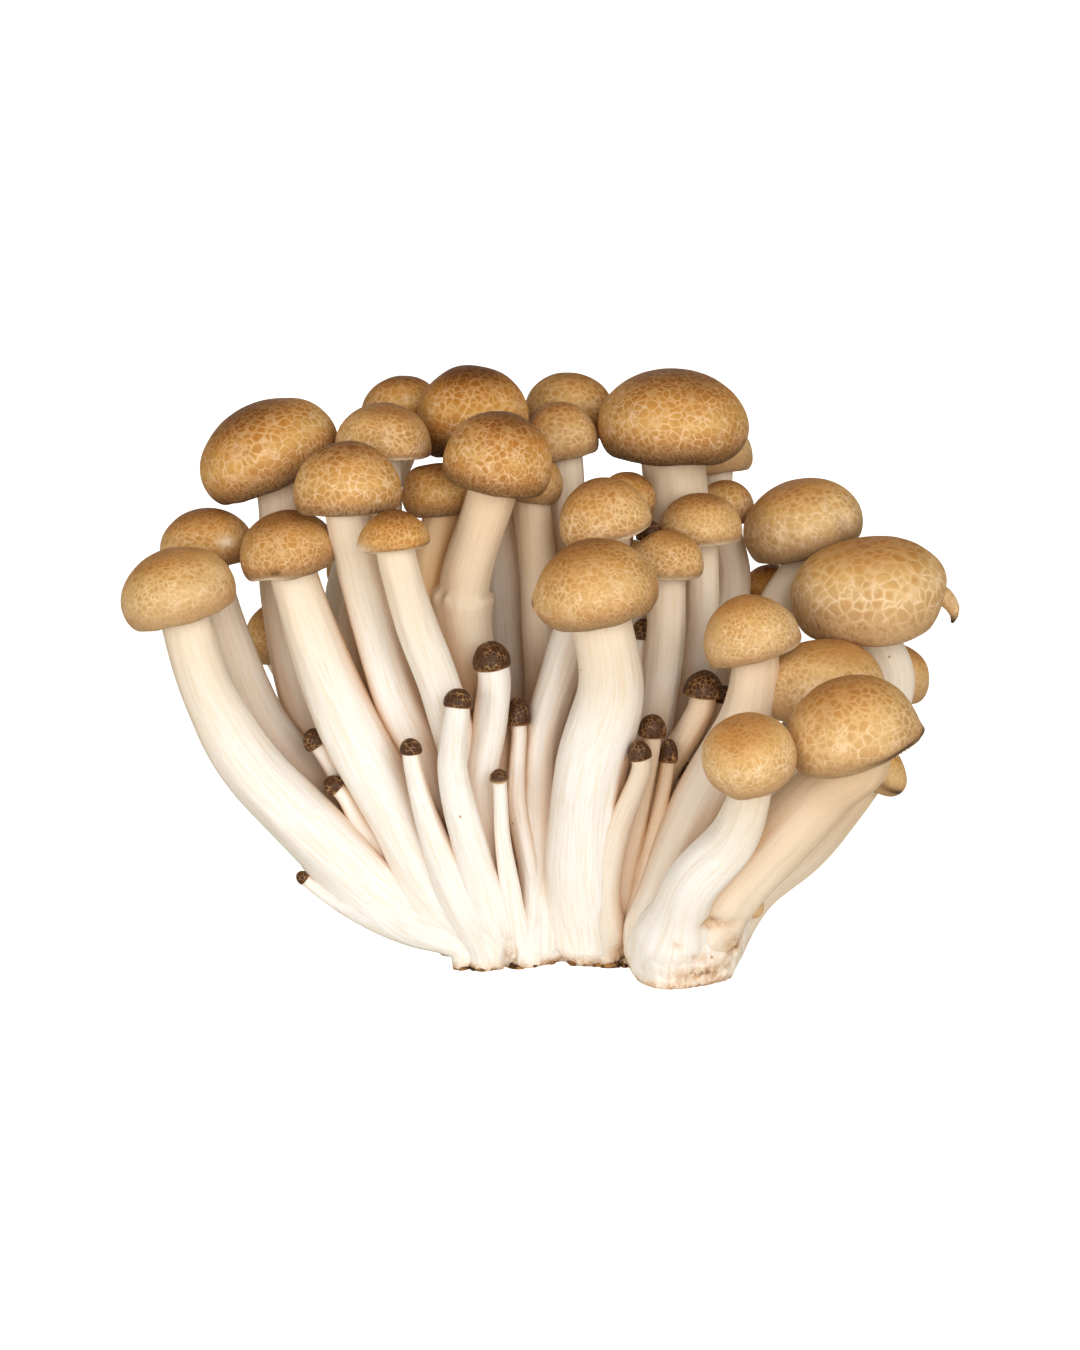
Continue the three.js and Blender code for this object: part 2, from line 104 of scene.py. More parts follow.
# The stems, as in the solids and in millimetres: the foot, the radius at the foot, in the body and under
# the cap, and the places across and up the photo's view that the stem passes, with any extra depth.
STEMS = {
    "cap_left_1": ((-11, 0), (3.2, 4.9, 3.6), [(-21.5, -34.5), (-32, -25.2), (-43, -14), (-50, -2.3)]),
    "cap_left_2": ((-13.5, 6), (2.6, 3.2, 2.8), [(-33.5, -16.5), (-41.4, -6), (-46.2, 5.3)]),
    "cap_left_3": ((-8, -1.5), (3.4, 4.9, 3.6), [(-15, -32.3), (-23.3, -17.3), (-31.5, -0.8)]),
    "cap_left_4": ((-12, 12), (2.8, 3.8, 4), [(-32.3, -11.3), (-36, -0.8), (-38, 11.3)]),
    "cap_left_5": ((-8, 5.5), (2.8, 3.8, 3.3), [(-16.5, -14.3), (-21.8, -2.3), (-26, 12.8, 2)]),
    "cap_left_6": ((-7, 11.5), (2.6, 3.2, 2.9), [(-18, -15), (-27.3, 4), (-24, 20)]),
    "cap_left_7": ((-5, 5), (2.6, 3.2, 2.9), [(-14.3, -3.8), (-18.8, 8.3)]),
    "cap_left_8": ((-10, 16), (2, 2.4, 2.2), []),
    "cap_middle_1": ((-8, 18), (2.4, 3, 2.7), [(-26.5, 0), (-29.3, 11), (-25, 25)]),
    "cap_middle_2": ((-3, 18), (2.6, 3.6, 3.4), [(-5, 18)]),
    "cap_middle_3": ((-1.5, 6.5), (2.6, 3.7, 3.7), [(-6, -12.8), (-10.8, 3.8), (-11.3, 12.8)]),
    "cap_middle_4": ((-3, 12), (2.5, 3.2, 3), [(-16.5, 11.3)]),
    "cap_middle_5": ((1.5, 9), (2.4, 2.9, 2.8), [(0, 11.3)]),
    "cap_middle_6": ((4.5, 12), (2.4, 2.8, 2.6), []),
    "cap_middle_7": ((3, 18), (2.4, 2.8, 2.6), []),
    "cap_middle_8": ((9, 14), (3, 4.2, 4.9), [(20.4, 22, 1)]),
    "cap_middle_9": ((9, 15.5), (2.4, 2.8, 2.6), []),
    "cap_middle_10": ((-0.8, 1), (3.6, 3, 3.2), [(0, -26.3), (0.3, -9.8), (3.6, 2.3)]),
    "cap_middle_11": ((7.4, 1.5), (4.6, 5.5, 4.3), [(6.1, -26.3), (7.5, -14.3), (10.8, -2.3)]),
    "cap_middle_12": ((10, 8), (2.3, 2.9, 2.9), [(17.3, -6.8), (18.8, 5.3)]),
    "cap_middle_13": ((14, 8), (2.3, 2.8, 2.5), [(22.2, -2.3), (24.2, 8.3)]),
    "cap_middle_14": ((15, 14), (2.2, 2.7, 2.5), [(25, -4), (29.2, 14)]),
    "cap_middle_15": ((4, 7), (1.8, 2.2, 2), []),
    "cap_right_1": ((20, 5), (2.6, 3.5, 3.4), [(34.5, 7)]),
    "cap_right_2": ((26, 3), (3, 3.5, 3.3), [(45, -17, 2), (52.8, -1, 1)]),
    "cap_right_3": ((17.5, -4.5), (3.6, 4.3, 3.4), [(19, -32), (24, -19.5), (31, -6)]),
    "cap_right_4": ((26, -2), (3, 3.4, 3.4), [(38, -12, 5)]),
    "cap_right_5": ((23, -8), (3.2, 4.8, 4.3), [(28.5, -32.4), (36, -24.3), (43, -17)]),
    "cap_right_6": ((19.5, -10), (4.8, 4, 2.8), [(22.5, -32), (29, -24.5)]),
    "cap_right_7": ((25, 9), (2, 2.4, 2.3), []),
    "cap_right_8": ((26.5, -5), (2.8, 3.3, 3), [(31.5, -33, 3), (40, -26, 3)]),
    "cap_back_1": ((-6, 17.5), (2.2, 2.7, 2.4), []),
    "cap_back_2": ((0, 18), (2.2, 2.8, 2.6), []),
    "cap_back_3": ((6, 17), (2.2, 2.7, 2.4), []),
    "cap_back_4": ((21, 12), (2.2, 2.7, 2.4), []),
    "cap_right_9": ((20, 12), (2, 2.3, 2.2), []),
    "button_1": ((-4.8, 0.5), (2.5, 3, 2.4), [(-7.2, -30.8), (-9.3, -17.3), (-7.5, -6.8)]),
    "button_2": ((-6, -2), (2.3, 2.7, 1.8), [(-9.8, -27.8), (-13.1, -14.3)]),
    "button_3": ((-8.6, -3.5), (2, 2.2, 1.3), [(-12.8, -32.3), (-17.3, -20.3)]),
    "button_4": ((-1.8, -1.5), (1.7, 1.6, 1.2), [(-1.5, -30.8), (-3.5, -18.8)]),
    "button_5": ((-3.2, -2), (1.6, 1.4, 1), [(-4.1, -33.8), (-5.6, -24.8)]),
    "button_6": ((-9, 4), (1.5, 1.7, 1.4), [(-27, -20)]),
    "button_7": ((-11, 2.5), (1.5, 1.7, 1.2), [(-26, -24)]),
    "button_8": ((-13, 11), (1.5, 1.6, 1.4), []),
    "button_9": ((-12, -3.2), (1.5, 2.3, 0.9), [(-20.5, -37.8), (-30, -34)]),
    "button_10": ((11.8, 0), (2, 1.9, 1.4), [(12.3, -30.8), (15, -18.8)]),
    "button_11": ((11, -1.6), (2, 1.9, 1.4), [(9.9, -33.8), (11.7, -23.3)]),
    "button_12": ((13.6, -1.2), (1.8, 1.4, 1.1), [(14.7, -35.3), (17, -24.8)]),
    "button_13": ((15, 0), (2.3, 2.4, 2), [(15.2, -30.8), (17.2, -17.3), (22.6, -8)]),
    "button_14": ((8, 8), (1.4, 1.5, 1.3), []),
    "button_15": ((17, 2), (1.4, 1.5, 1.3), []),
    "button_16": ((18, 6), (1.4, 1.5, 1.3), []),
    "button_17": ((9, 11), (1.4, 1.6, 1.4), []),
    "button_18": ((26.5, -8), (1.8, 1.8, 1.4), []),
}

# The profile of single caps: the share of the height where they are widest, the share of the radius at the
# rim, and how pointed the dome is, where 1 is an even round.
CAP_SHAPES = {
    "cap_left_1": (0.3, 0.84, 1.0),
    "cap_left_2": (0.28, 0.82, 1.0),
    "cap_left_3": (0.3, 0.88, 1.02),
    "cap_left_5": (0.24, 0.88, 1.04),
    "cap_left_6": (0.16, 0.94, 1.0),
    "cap_left_7": (0.12, 0.95, 1.25),
    "cap_middle_3": (0.3, 0.82, 1.0),
    "cap_middle_6": (0.24, 0.88, 1.0),
    "cap_middle_10": (0.16, 0.93, 1.0),
    "cap_middle_11": (0.26, 0.86, 1.06),
    "cap_middle_12": (0.22, 0.9, 1.08),
    "cap_middle_13": (0.22, 0.9, 1.0),
    "cap_right_1": (0.3, 0.84, 1.0),
    "cap_right_2": (0.38, 0.8, 0.94),
    "cap_right_3": (0.2, 0.92, 1.22),
    "cap_right_5": (0.28, 0.86, 1.1),
    "cap_right_6": (0.36, 0.8, 0.95),
    "button_13": (0.1, 0.96, 1.3),
}
PLAIN_SHAPE = (WIDEST, RIM, 1.0)
BUTTON_SHAPE = (0.18, 0.9, 1.05)

# A torn flap of skin at a cap's edge: the places across and up the photo's view that it passes and half its
# width there, in millimetres. Then how deep it is for its width, the points round it, and where it darkens.
FLAPS = {
    "cap_right_2": [(57, 13, 1.6), (60.2, 12, 1.6), (61.8, 10.3, 1.4), (62.1, 8.9, 1), (61.8, 7.8, 0.2)],
}
FLAP_DEPTH = 0.7
FLAP_COLUMNS = 12
FLAP_DARK = (0.72, 0.95)

# How each cap looks: how dark it is from 0 to 1, how large its net's cells are in millimetres, and how
# strongly the net shows.
CAP_LOOKS = {
    "cap_left_1": (0.2, 0.9, 0.6),
    "cap_left_2": (0.7, 0.95, 0.6),
    "cap_left_3": (0.7, 0.9, 0.8),
    "cap_left_4": (0.85, 1.25, 0.9),
    "cap_left_5": (0.75, 1.15, 1.0),
    "cap_left_6": (0.55, 0.9, 0.9),
    "cap_left_7": (0.9, 0.75, 0.6),
    "cap_left_8": (0.5, 0.9, 0.5),
    "cap_middle_1": (0.85, 1.1, 0.7),
    "cap_middle_2": (1.0, 1.2, 0.8),
    "cap_middle_3": (0.9, 1.0, 0.9),
    "cap_middle_4": (0.8, 1.0, 0.7),
    "cap_middle_5": (0.5, 0.9, 0.5),
    "cap_middle_6": (0.5, 1.0, 0.9),
    "cap_middle_7": (0.6, 1.1, 0.6),
    "cap_middle_8": (0.82, 1.2, 1.0),
    "cap_middle_9": (0.1, 1.0, 0.3),
    "cap_middle_10": (0.55, 0.9, 0.9),
    "cap_middle_11": (0.55, 0.95, 0.7),
    "cap_middle_12": (0.5, 0.8, 0.9),
    "cap_middle_13": (0.5, 0.85, 0.9),
    "cap_middle_14": (0.5, 0.9, 0.7),
    "cap_middle_15": (0.8, 0.9, 0.7),
    "cap_right_1": (0.2, 1.2, 0.8),
    "cap_right_2": (0.2, 1.8, 0.85),
    "cap_right_3": (0.35, 0.75, 0.8),
    "cap_right_4": (0.2, 1.0, 0.6),
    "cap_right_5": (0.35, 1.25, 0.7),
    "cap_right_6": (0.2, 0.85, 0.7),
    "cap_right_7": (0.2, 1.0, 0.3),
    "cap_right_8": (0.2, 1.0, 0.3),
    # cap_right_9's full darkness is partly its own colour and partly painted shade, for it sits in shadow
    # behind the stems.
    "cap_right_9": (1.0, 0.9, 0.6),
}
PLAIN_LOOK = (0.5, 1.0, 0.6)

# Cap colours from the top to the lip, for a pale and for a dark cap: the place and the colour. The darker top
# is partly the cap's own colour and partly painted shade, and the darkening over the rolled rim is painted
# shade.
LIGHT_CAP = [
    (0.0, (202, 142, 80)), (0.35, (218, 160, 90)), (0.58, (230, 188, 122)), (0.85, (224, 192, 142)),
    (1.1, (202, 164, 116)), (1.4, (202, 170, 130)),
]
DARK_CAP = [
    (0.0, (94, 53, 20)), (0.35, (132, 76, 20)), (0.58, (192, 128, 50)), (0.85, (213, 162, 84)),
    (1.0, (184, 126, 54)), (1.12, (122, 72, 20)), (1.25, (60, 30, 6)), (1.4, (40, 20, 6)),
]

# How dark single buttons are, where one isn't fully dark.
BUTTON_TONES = {"button_18": 0.1}

# Marks on single caps: what changes, the angle round the cap in degrees (0 right, -90 front, 180 left), the
# place from the top, the half width of each, and by how much.
# Broad dark marks at the front of a lower rim are painted shade under that rim.
MARKS = {
    "cap_left_2": [("pale", -58, 0.86, 9, 0.07, 0.9)],
    "cap_left_3": [
        ("up", -122, 1.4, 20, 0.2, 0.07),
        ("pale", -118, 1.28, 26, 0.07, 1.0),
        ("dark", -104, 1.12, 5, 0.05, 0.9),
    ],
    "cap_left_6": [("pale", -80, 1.3, 60, 0.1, 0.8)],
    "cap_left_7": [
        ("out", 180, 1.0, 36, 0.3, 0.1),
        ("up", -165, 0.9, 30, 0.25, -0.06),
        ("pale", -168, 1.05, 30, 0.16, 1.0),
        ("pale", -90, 1.3, 90, 0.12, 0.8),
    ],
    "cap_middle_2": [
        ("up", -150, 1.35, 45, 0.35, -0.13),
        ("dark", -90, 0.3, 180, 0.3, 0.3),
        # Painted shade under the front of the rim.
        ("dark", -90, 1.35, 120, 0.22, 0.5),
    ],
    "cap_middle_4": [("out", 180, 0.9, 60, 0.6, 0.12), ("up", 170, 0.55, 70, 0.28, 0.15)],
    # cap_middle_8's dark mark is painted shade under the front of its rim.
    "cap_middle_8": [("dark", -90, 1.35, 120, 0.22, 0.5)],
    "cap_middle_10": [("pale", -90, 1.3, 90, 0.1, 0.9), ("up", 0, 1.3, 60, 0.5, 0.06)],
    "cap_middle_11": [
        ("out", -178, 0.92, 14, 0.14, 0.05),
        ("up", 180, 1.3, 44, 0.3, 0.13),
        ("dark", -172, 0.92, 4, 0.05, 0.9),
    ],
    "cap_middle_12": [("pale", -90, 1.3, 90, 0.1, 0.7)],
    "cap_middle_13": [("pale", -90, 1.3, 90, 0.1, 0.9)],
    "cap_right_1": [
        ("out", -48, 1.0, 7, 0.35, -0.05),
        ("out", -30, 0.9, 12, 0.3, 0.03),
        # Painted shade under the front of the rim.
        ("dark", -80, 1.26, 80, 0.27, 0.65),
    ],
    "cap_right_2": [
        ("out", 0, 0.9, 45, 0.5, -0.05),
        ("out", 0, 1.3, 40, 0.3, -0.12),
        ("up", -90, 1.4, 80, 0.4, -0.1),
    ],
    "cap_right_3": [
        ("out", -8, 1.3, 34, 0.3, 0.08),
        ("up", 180, 1.3, 60, 0.4, -0.06),
        ("pale", -30, 1.3, 26, 0.08, 0.7),
    ],
    "cap_right_4": [("out", 180, 1.1, 50, 0.5, 0.24), ("up", -160, 1.3, 50, 0.35, -0.26)],
    "cap_right_5": [
        ("out", -6, 0.85, 40, 0.4, -0.08),
        ("out", -16, 1.1, 9, 0.1, 0.08),
        ("up", -50, 1.4, 36, 0.24, 0.1),
        ("dark", -50, 1.19, 36, 0.05, 1.0),
        ("dark", -16, 1.11, 7, 0.06, 1.0),
    ],
    "cap_right_8": [
        ("out", -20, 1.0, 24, 0.3, 0.1),
        ("out", -70, 1.0, 14, 0.3, -0.12),
        ("dark", -20, 1.1, 50, 0.06, 1.0),
    ],
    "button_5": [("pale", -90, 1.2, 120, 0.2, 0.9)],
    "button_18": [("pale", -90, 1.0, 180, 1.0, 0.5)],
}

# Mounds of the butt, as in the solids and in millimetres: the middle, the half width and depth, the height,
# how far it stays clear of the cut face, and how wide its joins with the stems are.
MOUNDS = [
    ((-1, 9.5), (15, 10), 10, 0, 0.5),
    ((17, 8.5), (12, 8.5), 9, 0, 0.5),
    ((19.5, -8.5), (6, 8.4), 12, 0, 2.4),
    ((23.6, -8), (6.3, 7.8), 10.5, 2.5, 2.0),
]
MOUND_WAIST = 0.36
MOUND_ROWS = 48
MOUND_COLUMNS = 120

# The relief of a mound: lumps by size and height, grooves by closeness and height, and layers by all three.
MOUND_LUMP = (4.5 * MM, 0.6 * MM)
MOUND_GROOVE = (7, 0.16 * MM)
MOUND_LAYER = (1.6, 1.3 * MM, 0.3 * MM)

# How stems and mounds grow together: the heights between which that fades, the share that is left, the width
# of a stem's joins, the most that they swell, how far above the top stems still count, and the most join
# widths by which two surfaces count as passing each other.
JOIN_LOW = 6 * MM
JOIN_TOP = 28 * MM
JOIN_LEFT = 0.02
JOIN_WIDTH = 0.7 * MM
JOIN_MOST = 1.6 * MM
JOIN_MARGIN = 5 * MM
JOIN_CLOSEST = 60

# A CAD cap's ring: the shares of the height between which it is read, steps round it, and waves that stay.
RING_BAND = (0.5, 0.78)
RING_STEPS = 72
RING_WAVES = 2

# Gills: the step between them at half the radius, half the thickness, stations along one, its ends for the
# radius of cap and stem, how deep its root sits, and its edge's start and rise for the cap's height.
GILL_STEP = 0.55 * MM
GILL_HALF = 0.09 * MM
GILL_STATIONS = 6
GILL_INSET = 0.03
GILL_NECK = 0.9
GILL_ROOT = 0.2 * MM
GILL_EDGE = 0.045
GILL_RISE = 0.15

# Stems: the step along one, points round a grown and a young one, how far the top sits in the cap, and the
# shares of the length where the swelling of the foot ends and the taper starts.
STEM_STEP = 0.75 * MM
STEM_COLUMNS = 44
YOUNG_COLUMNS = 28
SEAT = 1.0 * MM
SWELL_END = 0.35
TAPER_START = 0.45

# Steps of a curve between two of the points that it passes.
CURVE_STEPS = 24

# The relief of a stem, from broad swells to threads: how close round it, the length in millimetres and the
# height as a share of the radius.
STEM_RELIEF = [(0.8, 13, 0.1), (3.4, 24, 0.05), (9.5, 15, 0.016)]

# How much longer than wide fibres are, how far apart those of two stems are drawn, the share of a stem's tan
# and painted shade at its foot, and how far up the stem colours a young one gets.
FIBRE_STRETCH = 22.0
FIBRE_SHIFT = 40 * MM
FOOT_TAN = 0.4
YOUNG_ALONG = 0.6

# How tan single stems are, from 0 to 1: partly their own tan, and partly painted shade on stems that stand in
# shade behind others, such as cap_middle_4's.
STEM_TANS_AND_SHADE = {
    "cap_left_4": 0.3, "cap_middle_3": 0.6, "cap_middle_4": 1.0, "cap_middle_5": 0.4, "cap_middle_8": 0.4,
    "cap_middle_12": 0.05, "cap_middle_13": 0.1, "cap_right_1": 0.4, "cap_right_3": 0.5, "cap_right_5": 0.8,
    "cap_right_8": 0.6, "button_10": 0.6, "button_11": 0.5, "button_12": 0.7, "button_13": 0.7,
}

# A torn sheath on a stem: the height of its upper edge, how far it stands out and how fast that fades, in
# millimetres. Then the closeness and height of the edge's waves, and half the height of its step.
LEDGES = {"cap_middle_3": (57.0, 1.0, 10.0)}
LEDGE_WAVES = 2
LEDGE_RAGGED = 1.2 * MM
LEDGE_STEP = 0.15 * MM

# Torn spots on the butt: the middle and the half sizes in millimetres, how brown each is from 0 to 1, and how
# deep in millimetres.
SPOTS = [
    ((25.2, -15.6, 10.4), (3.4, 3.0, 0.7), 0.9, 1.3),
    ((20.2, -17.5, 7.4), (0.8, 2.0, 0.6), 0.7, 0.2),
    ((24.0, -15.5, 2.4), (5.0, 4.0, 1.5), 0.9, 0.5),
    ((28.8, -12.6, 6.0), (1.8, 4.0, 2.6), 0.9, 0.4),
    ((23.0, -16.5, 5.0), (2.6, 2.5, 0.7), 0.5, 0.4),
    ((-4.5, -4.0, 1.0), (0.9, 5.0, 3.0), 0.9, 1.6),
    ((12.6, -3.0, 1.2), (1.8, 3.5, 3.4), 1.0, 0.9),
    ((6.5, -3.0, 0.2), (3.6, 4.0, 0.9), 0.6, 0.0),
    ((-10.5, -5.0, 0.2), (3.6, 4.0, 0.7), 0.4, 0.0),
]
SPOT_LEAST = 0.02
TEAR_SIZE = 0.8 * MM

# How brown the cut is, and the heights between which that fades.
CUT_STAIN = 0.75
CUT_STAIN_FADE = (0.1 * MM, 1.8 * MM)

# Crumbs at the feet in front of a depth, in millimetres: the ranges of their turn round the foot, of their
# height and of their sizes, then how far out they lie, for the foot's radius, and how rough they are.
CRUMB_SEED = 7
CRUMBS_PER_FOOT = 2
CRUMB_FRONT = 3
CRUMB_TURNS = (-2.8, -0.3)
CRUMB_HEIGHTS = (0.1, 0.5)
CRUMB_SIZES = [(0.5, 1.3), (0.25, 0.45), (0.25, 0.5)]
CRUMB_OUT = 0.84
CRUMB_ROUGH = 0.6
CRUMB_GRAIN = 0.6 * MM
CRUMB_DRIFT = 999

# The light: a dim warm room, and softboxes by place, size and power: a large one above and right of the
# camera, weaker ones left of it and beside it, and a faint one behind the object.
WORLD_LIGHT = 0.28
WORLD_TINT = (255, 240, 218)
LIGHTS = [
    ("key_light", (0.30, -0.66, 0.34), 0.6, 3.25),
    ("fill_light", (-0.40, -0.64, 0.06), 0.5, 2.7),
    ("front_light", (0.05, -0.85, 0.10), 0.4, 1.0),
    ("back_light", (-0.10, 0.80, 0.20), 0.6, 0.5),
]
FLOOR_HALF = 40.0
FLOOR_GLOW = (0.96, 1.05)
FLOOR_GLOW_REACH = (0.2, 1.6)


# A colour as the eye reads it, from 0 to 255, turned into the linear values that shaders use.
def colour(red, green, blue):
    return tuple(((c / 255 + 0.055) / 1.055) ** 2.4 for c in (red, green, blue)) + (1.0,)


def smooth(value, low, high):
    share = np.clip((value - low) / (high - low), 0, 1)
    return share * share * (3 - 2 * share)


# Nodes

# The nodes of a material or a room, with the colour that is painted so far.
class Nodes:
    def __init__(self, tree):
        self.tree = tree
        self.base = None

    # Adds a node with its settings and its inputs by name.
    def put(self, kind, settings=None, **inputs):
        made = self.tree.nodes.new(kind)
        for key, value in (settings or {}).items():
            setattr(made, key, value)
        for key, value in inputs.items():
            self.plug(made.inputs[key.replace("_", " ")], value)
        return made

    # Links an output to a socket, or sets it to a value.
    def plug(self, socket, value):
        if isinstance(value, bpy.types.NodeSocket):
            self.tree.links.new(value, socket)
        else:
            socket.default_value = value

    # A number, or a vector, that the mesh holds for each point.
    def number(self, name, output="Fac"):
        return self.put("ShaderNodeAttribute", {"attribute_name": name}).outputs[output]

    def calc(self, operation, first, second):
        made = self.put("ShaderNodeMath", {"operation": operation})
        self.plug(made.inputs[0], first)
        self.plug(made.inputs[1], second)
        return made.outputs[0]

    def times(self, first, second):
        return self.calc("MULTIPLY", first, second)

    # A value carried smoothly from the range between low and high to the one between start and end.
    def span(self, value, low, high, start=0.0, end=1.0):
        made = self.put("ShaderNodeMapRange", {"interpolation_type": "SMOOTHSTEP"}, Value=value,
                        From_Min=low, From_Max=high, To_Min=start, To_Max=end)
        return made.outputs["Result"]

    # A colour between two, each of them an output or a colour from 0 to 255.
    def mix(self, factor, first, second, blend="MIX"):
        made = self.put("ShaderNodeMix", {"data_type": "RGBA", "blend_type": blend})
        self.plug(made.inputs[0], factor)
        for index, shade in ((6, first), (7, second)):
            self.plug(made.inputs[index], colour(*shade) if isinstance(shade, tuple) else shade)
        return made.outputs[2]

    # Paints a colour over what is there, as far as the factor says.
    def paint(self, factor, shade, blend="MIX"):
        self.base = self.mix(factor, self.base, shade, blend)

    # Gives the shader the painted colour and a relief.
    def finish(self, height, strength, distance):
        shader = self.tree.nodes["Principled BSDF"]
        bump = self.put("ShaderNodeBump", Height=height, Strength=strength, Distance=distance)
        self.plug(shader.inputs["Base Color"], self.base)
        self.plug(shader.inputs["Normal"], bump.outputs["Normal"])

    # Colours along a cap from its top to its lip, with the painted shade that the stops hold at the top and
    # over the rim.
    def cap_ramp(self, polar, stops):
        made = self.put("ShaderNodeValToRGB", Fac=self.calc("DIVIDE", polar, LIP_PLACE))
        elements = made.color_ramp.elements
        while len(elements) < len(stops):
            elements.new(0.5)
        for element, (place, shade) in zip(elements, stops):
            element.position = place / LIP_PLACE
            element.color = colour(*shade)
        return made.outputs["Color"]

    def grain(self, place, scale, detail=2.0, roughness=0.5):
        made = self.put("ShaderNodeTexNoise", Vector=place, Scale=scale, Detail=detail, Roughness=roughness)
        return made.outputs["Fac"]

    # The place on a surface, moved about by noise so that lines drawn there wander.
    def wandering(self, place, scale, amount):
        swing = self.put("ShaderNodeTexNoise", Vector=place, Scale=scale, Detail=1.0).outputs["Color"]
        moved = self.put("ShaderNodeVectorMath", {"operation": "MULTIPLY_ADD"})
        for socket, value in zip(moved.inputs, (swing, (amount, amount, amount), place)):
            self.plug(socket, value)
        return moved.outputs[0]

    # How far a point is from the border of its cell: 0 on the border, about 1 deep inside a large cell.
    def cell_edge(self, place, scale):
        near, far = (self.put("ShaderNodeTexVoronoi", {"feature": order}, Vector=place, Scale=scale)
                     for order in ("F1", "F2"))
        return self.calc("SUBTRACT", far.outputs["Distance"], near.outputs["Distance"])


def new_material(name, roughness, specular, glow=0.0, depth=0.0):
    material = bpy.data.materials.new(name)
    material.use_nodes = True
    n = Nodes(material.node_tree)
    sockets = {"Roughness": roughness, "Specular IOR Level": specular, "Subsurface Weight": glow,
               "Subsurface Scale": depth, "Subsurface Radius": (1.0, 0.85, 0.7)}
    for socket, value in sockets.items():
        n.tree.nodes["Principled BSDF"].inputs[socket].default_value = value
    return material, n, n.put("ShaderNodeTexCoord").outputs["Object"]


# Cap skin: rounded golden brown scales on paler skin, darker at the top partly by its own colour and partly
# by painted shade, darker over the rolled rim by painted shade, with pale threads between them that are
# finest where the skin has split, and that fade into small upright specks at the rim.
def cap_skin():
    material, n, place = new_material("cap_skin", 0.5, 0.15, 0.05, 1.0 * MM)
    polar, tone, scale, shown = (n.number(name) for name in ("polar", "tone", "cells", "net"))
    moved = n.wandering(n.wandering(place, 330.0, 1.2 * MM), 1300.0, 0.3 * MM)
    edge = n.cell_edge(moved, scale)
    gap = n.span(n.grain(place, 280.0), 0.35, 0.65, 0.1, 0.42)
    between = n.span(edge, 0.02, gap, 1.0, 0.0)
    broken = n.span(n.grain(moved, 620.0), 0.4, 0.6)
    threads = n.times(n.span(edge, 0.0, 0.13, 1.0, 0.0), broken)
    fine_edge = n.cell_edge(moved, n.times(scale, 2.7))
    split = n.span(n.grain(moved, 330.0), 0.54, 0.68)
    fine_threads = n.times(n.span(fine_edge, 0.0, 0.24, 1.0, 0.0), split)
    threads = n.calc("MAXIMUM", threads, fine_threads)
    band = n.times(n.span(polar, 0.1, 0.75, 0.3, 1.0), n.span(polar, 0.95, 1.2, 1.0, 0.0))
    band = n.times(band, shown)
    upright = n.put("ShaderNodeVectorMath", {"operation": "MULTIPLY"})
    n.plug(upright.inputs[0], moved)
    upright.inputs[1].default_value = (1.0, 1.0, 0.45)
    speck_edge = n.cell_edge(upright.outputs[0], n.times(scale, 2.4))
    specks = n.times(n.span(speck_edge, 0.0, 0.35, 0.22, 0.0), n.span(polar, 0.9, 1.15))

    # The ramps hold painted shade at the top and over the rolled rim along with the caps' own colours.
    n.base = n.mix(tone, n.cap_ramp(polar, LIGHT_CAP), n.cap_ramp(polar, DARK_CAP))
    n.paint(n.span(n.grain(place, 120.0, 3.0), 0.42, 0.7, 0.0, 0.25), (150, 92, 36))
    faded = n.span(n.grain(place, 170.0), 0.38, 0.62, 0.15, 1.0)
    core = n.times(n.span(edge, 0.06, 0.5, 0.0, 0.55), faded)
    n.paint(n.times(core, n.span(polar, 0.8, 1.1, 1.0, 0.3)), (220, 192, 146), "MULTIPLY")
    pale_skin = n.mix(tone, (250, 220, 172), (236, 196, 140))
    n.paint(n.times(n.times(between, band), 0.34), pale_skin)
    n.paint(n.span(n.grain(place, 2600.0), 0.5, 0.7, 0.0, 0.12), (232, 194, 138))
    thread = n.mix(tone, (255, 238, 214), (246, 218, 186))
    thread = n.mix(n.span(polar, 0.35, 0.75), (214, 160, 98), thread)
    n.paint(n.times(n.times(threads, band), 0.52), thread)
    n.paint(n.times(specks, shown), pale_skin)
    n.paint(n.number("pale"), (246, 230, 202))
    # Darkens by the dark marks and a flap's tip: small marks are torn spots and edges, and the broad ones at
    # the front of a lower rim are painted shade.
    n.paint(n.number("dark"), (44, 24, 10))
    relief = n.calc("ADD", n.times(n.grain(place, 1700.0), 0.5), n.span(edge, 0.0, 0.45))
    n.finish(relief, 0.4, 0.15 * MM)
    return material


# Gills and the flesh under a cap: cream, a little darker in places.
def gill_flesh():
    material, n, place = new_material("gill_flesh", 0.65, 0.25, 0.1, 1.0 * MM)
    n.base = n.mix(n.span(n.grain(place, 500.0, 3.0), 0.3, 0.7), (240, 222, 192), (222, 196, 156))
    n.finish(n.grain(place, 1500.0), 0.2, 0.1 * MM)
    return material


# Button skin: dark brown with a fine paler net, and paler at the rim.
def button_skin():
    material, n, place = new_material("button_skin", 0.5, 0.3)
    net = n.span(n.cell_edge(n.wandering(place, 900.0, 0.5 * MM), 1500.0), 0.0, 0.16, 1.0, 0.0)
    net = n.times(net, n.span(n.grain(place, 650.0), 0.4, 0.6, 0.1, 0.8))
    n.base = n.mix(n.number("tone"), (226, 190, 138), (70, 41, 18))
    n.paint(net, (186, 142, 92))
    n.paint(n.span(n.number("polar"), 1.1, 1.3, 0.0, 0.7), (158, 108, 56))
    n.paint(n.number("pale"), (232, 200, 156))
    n.paint(n.number("dark"), (34, 20, 10))
    n.finish(n.calc("SUBTRACT", n.grain(place, 2500.0), net), 0.35, 0.08 * MM)
    return material
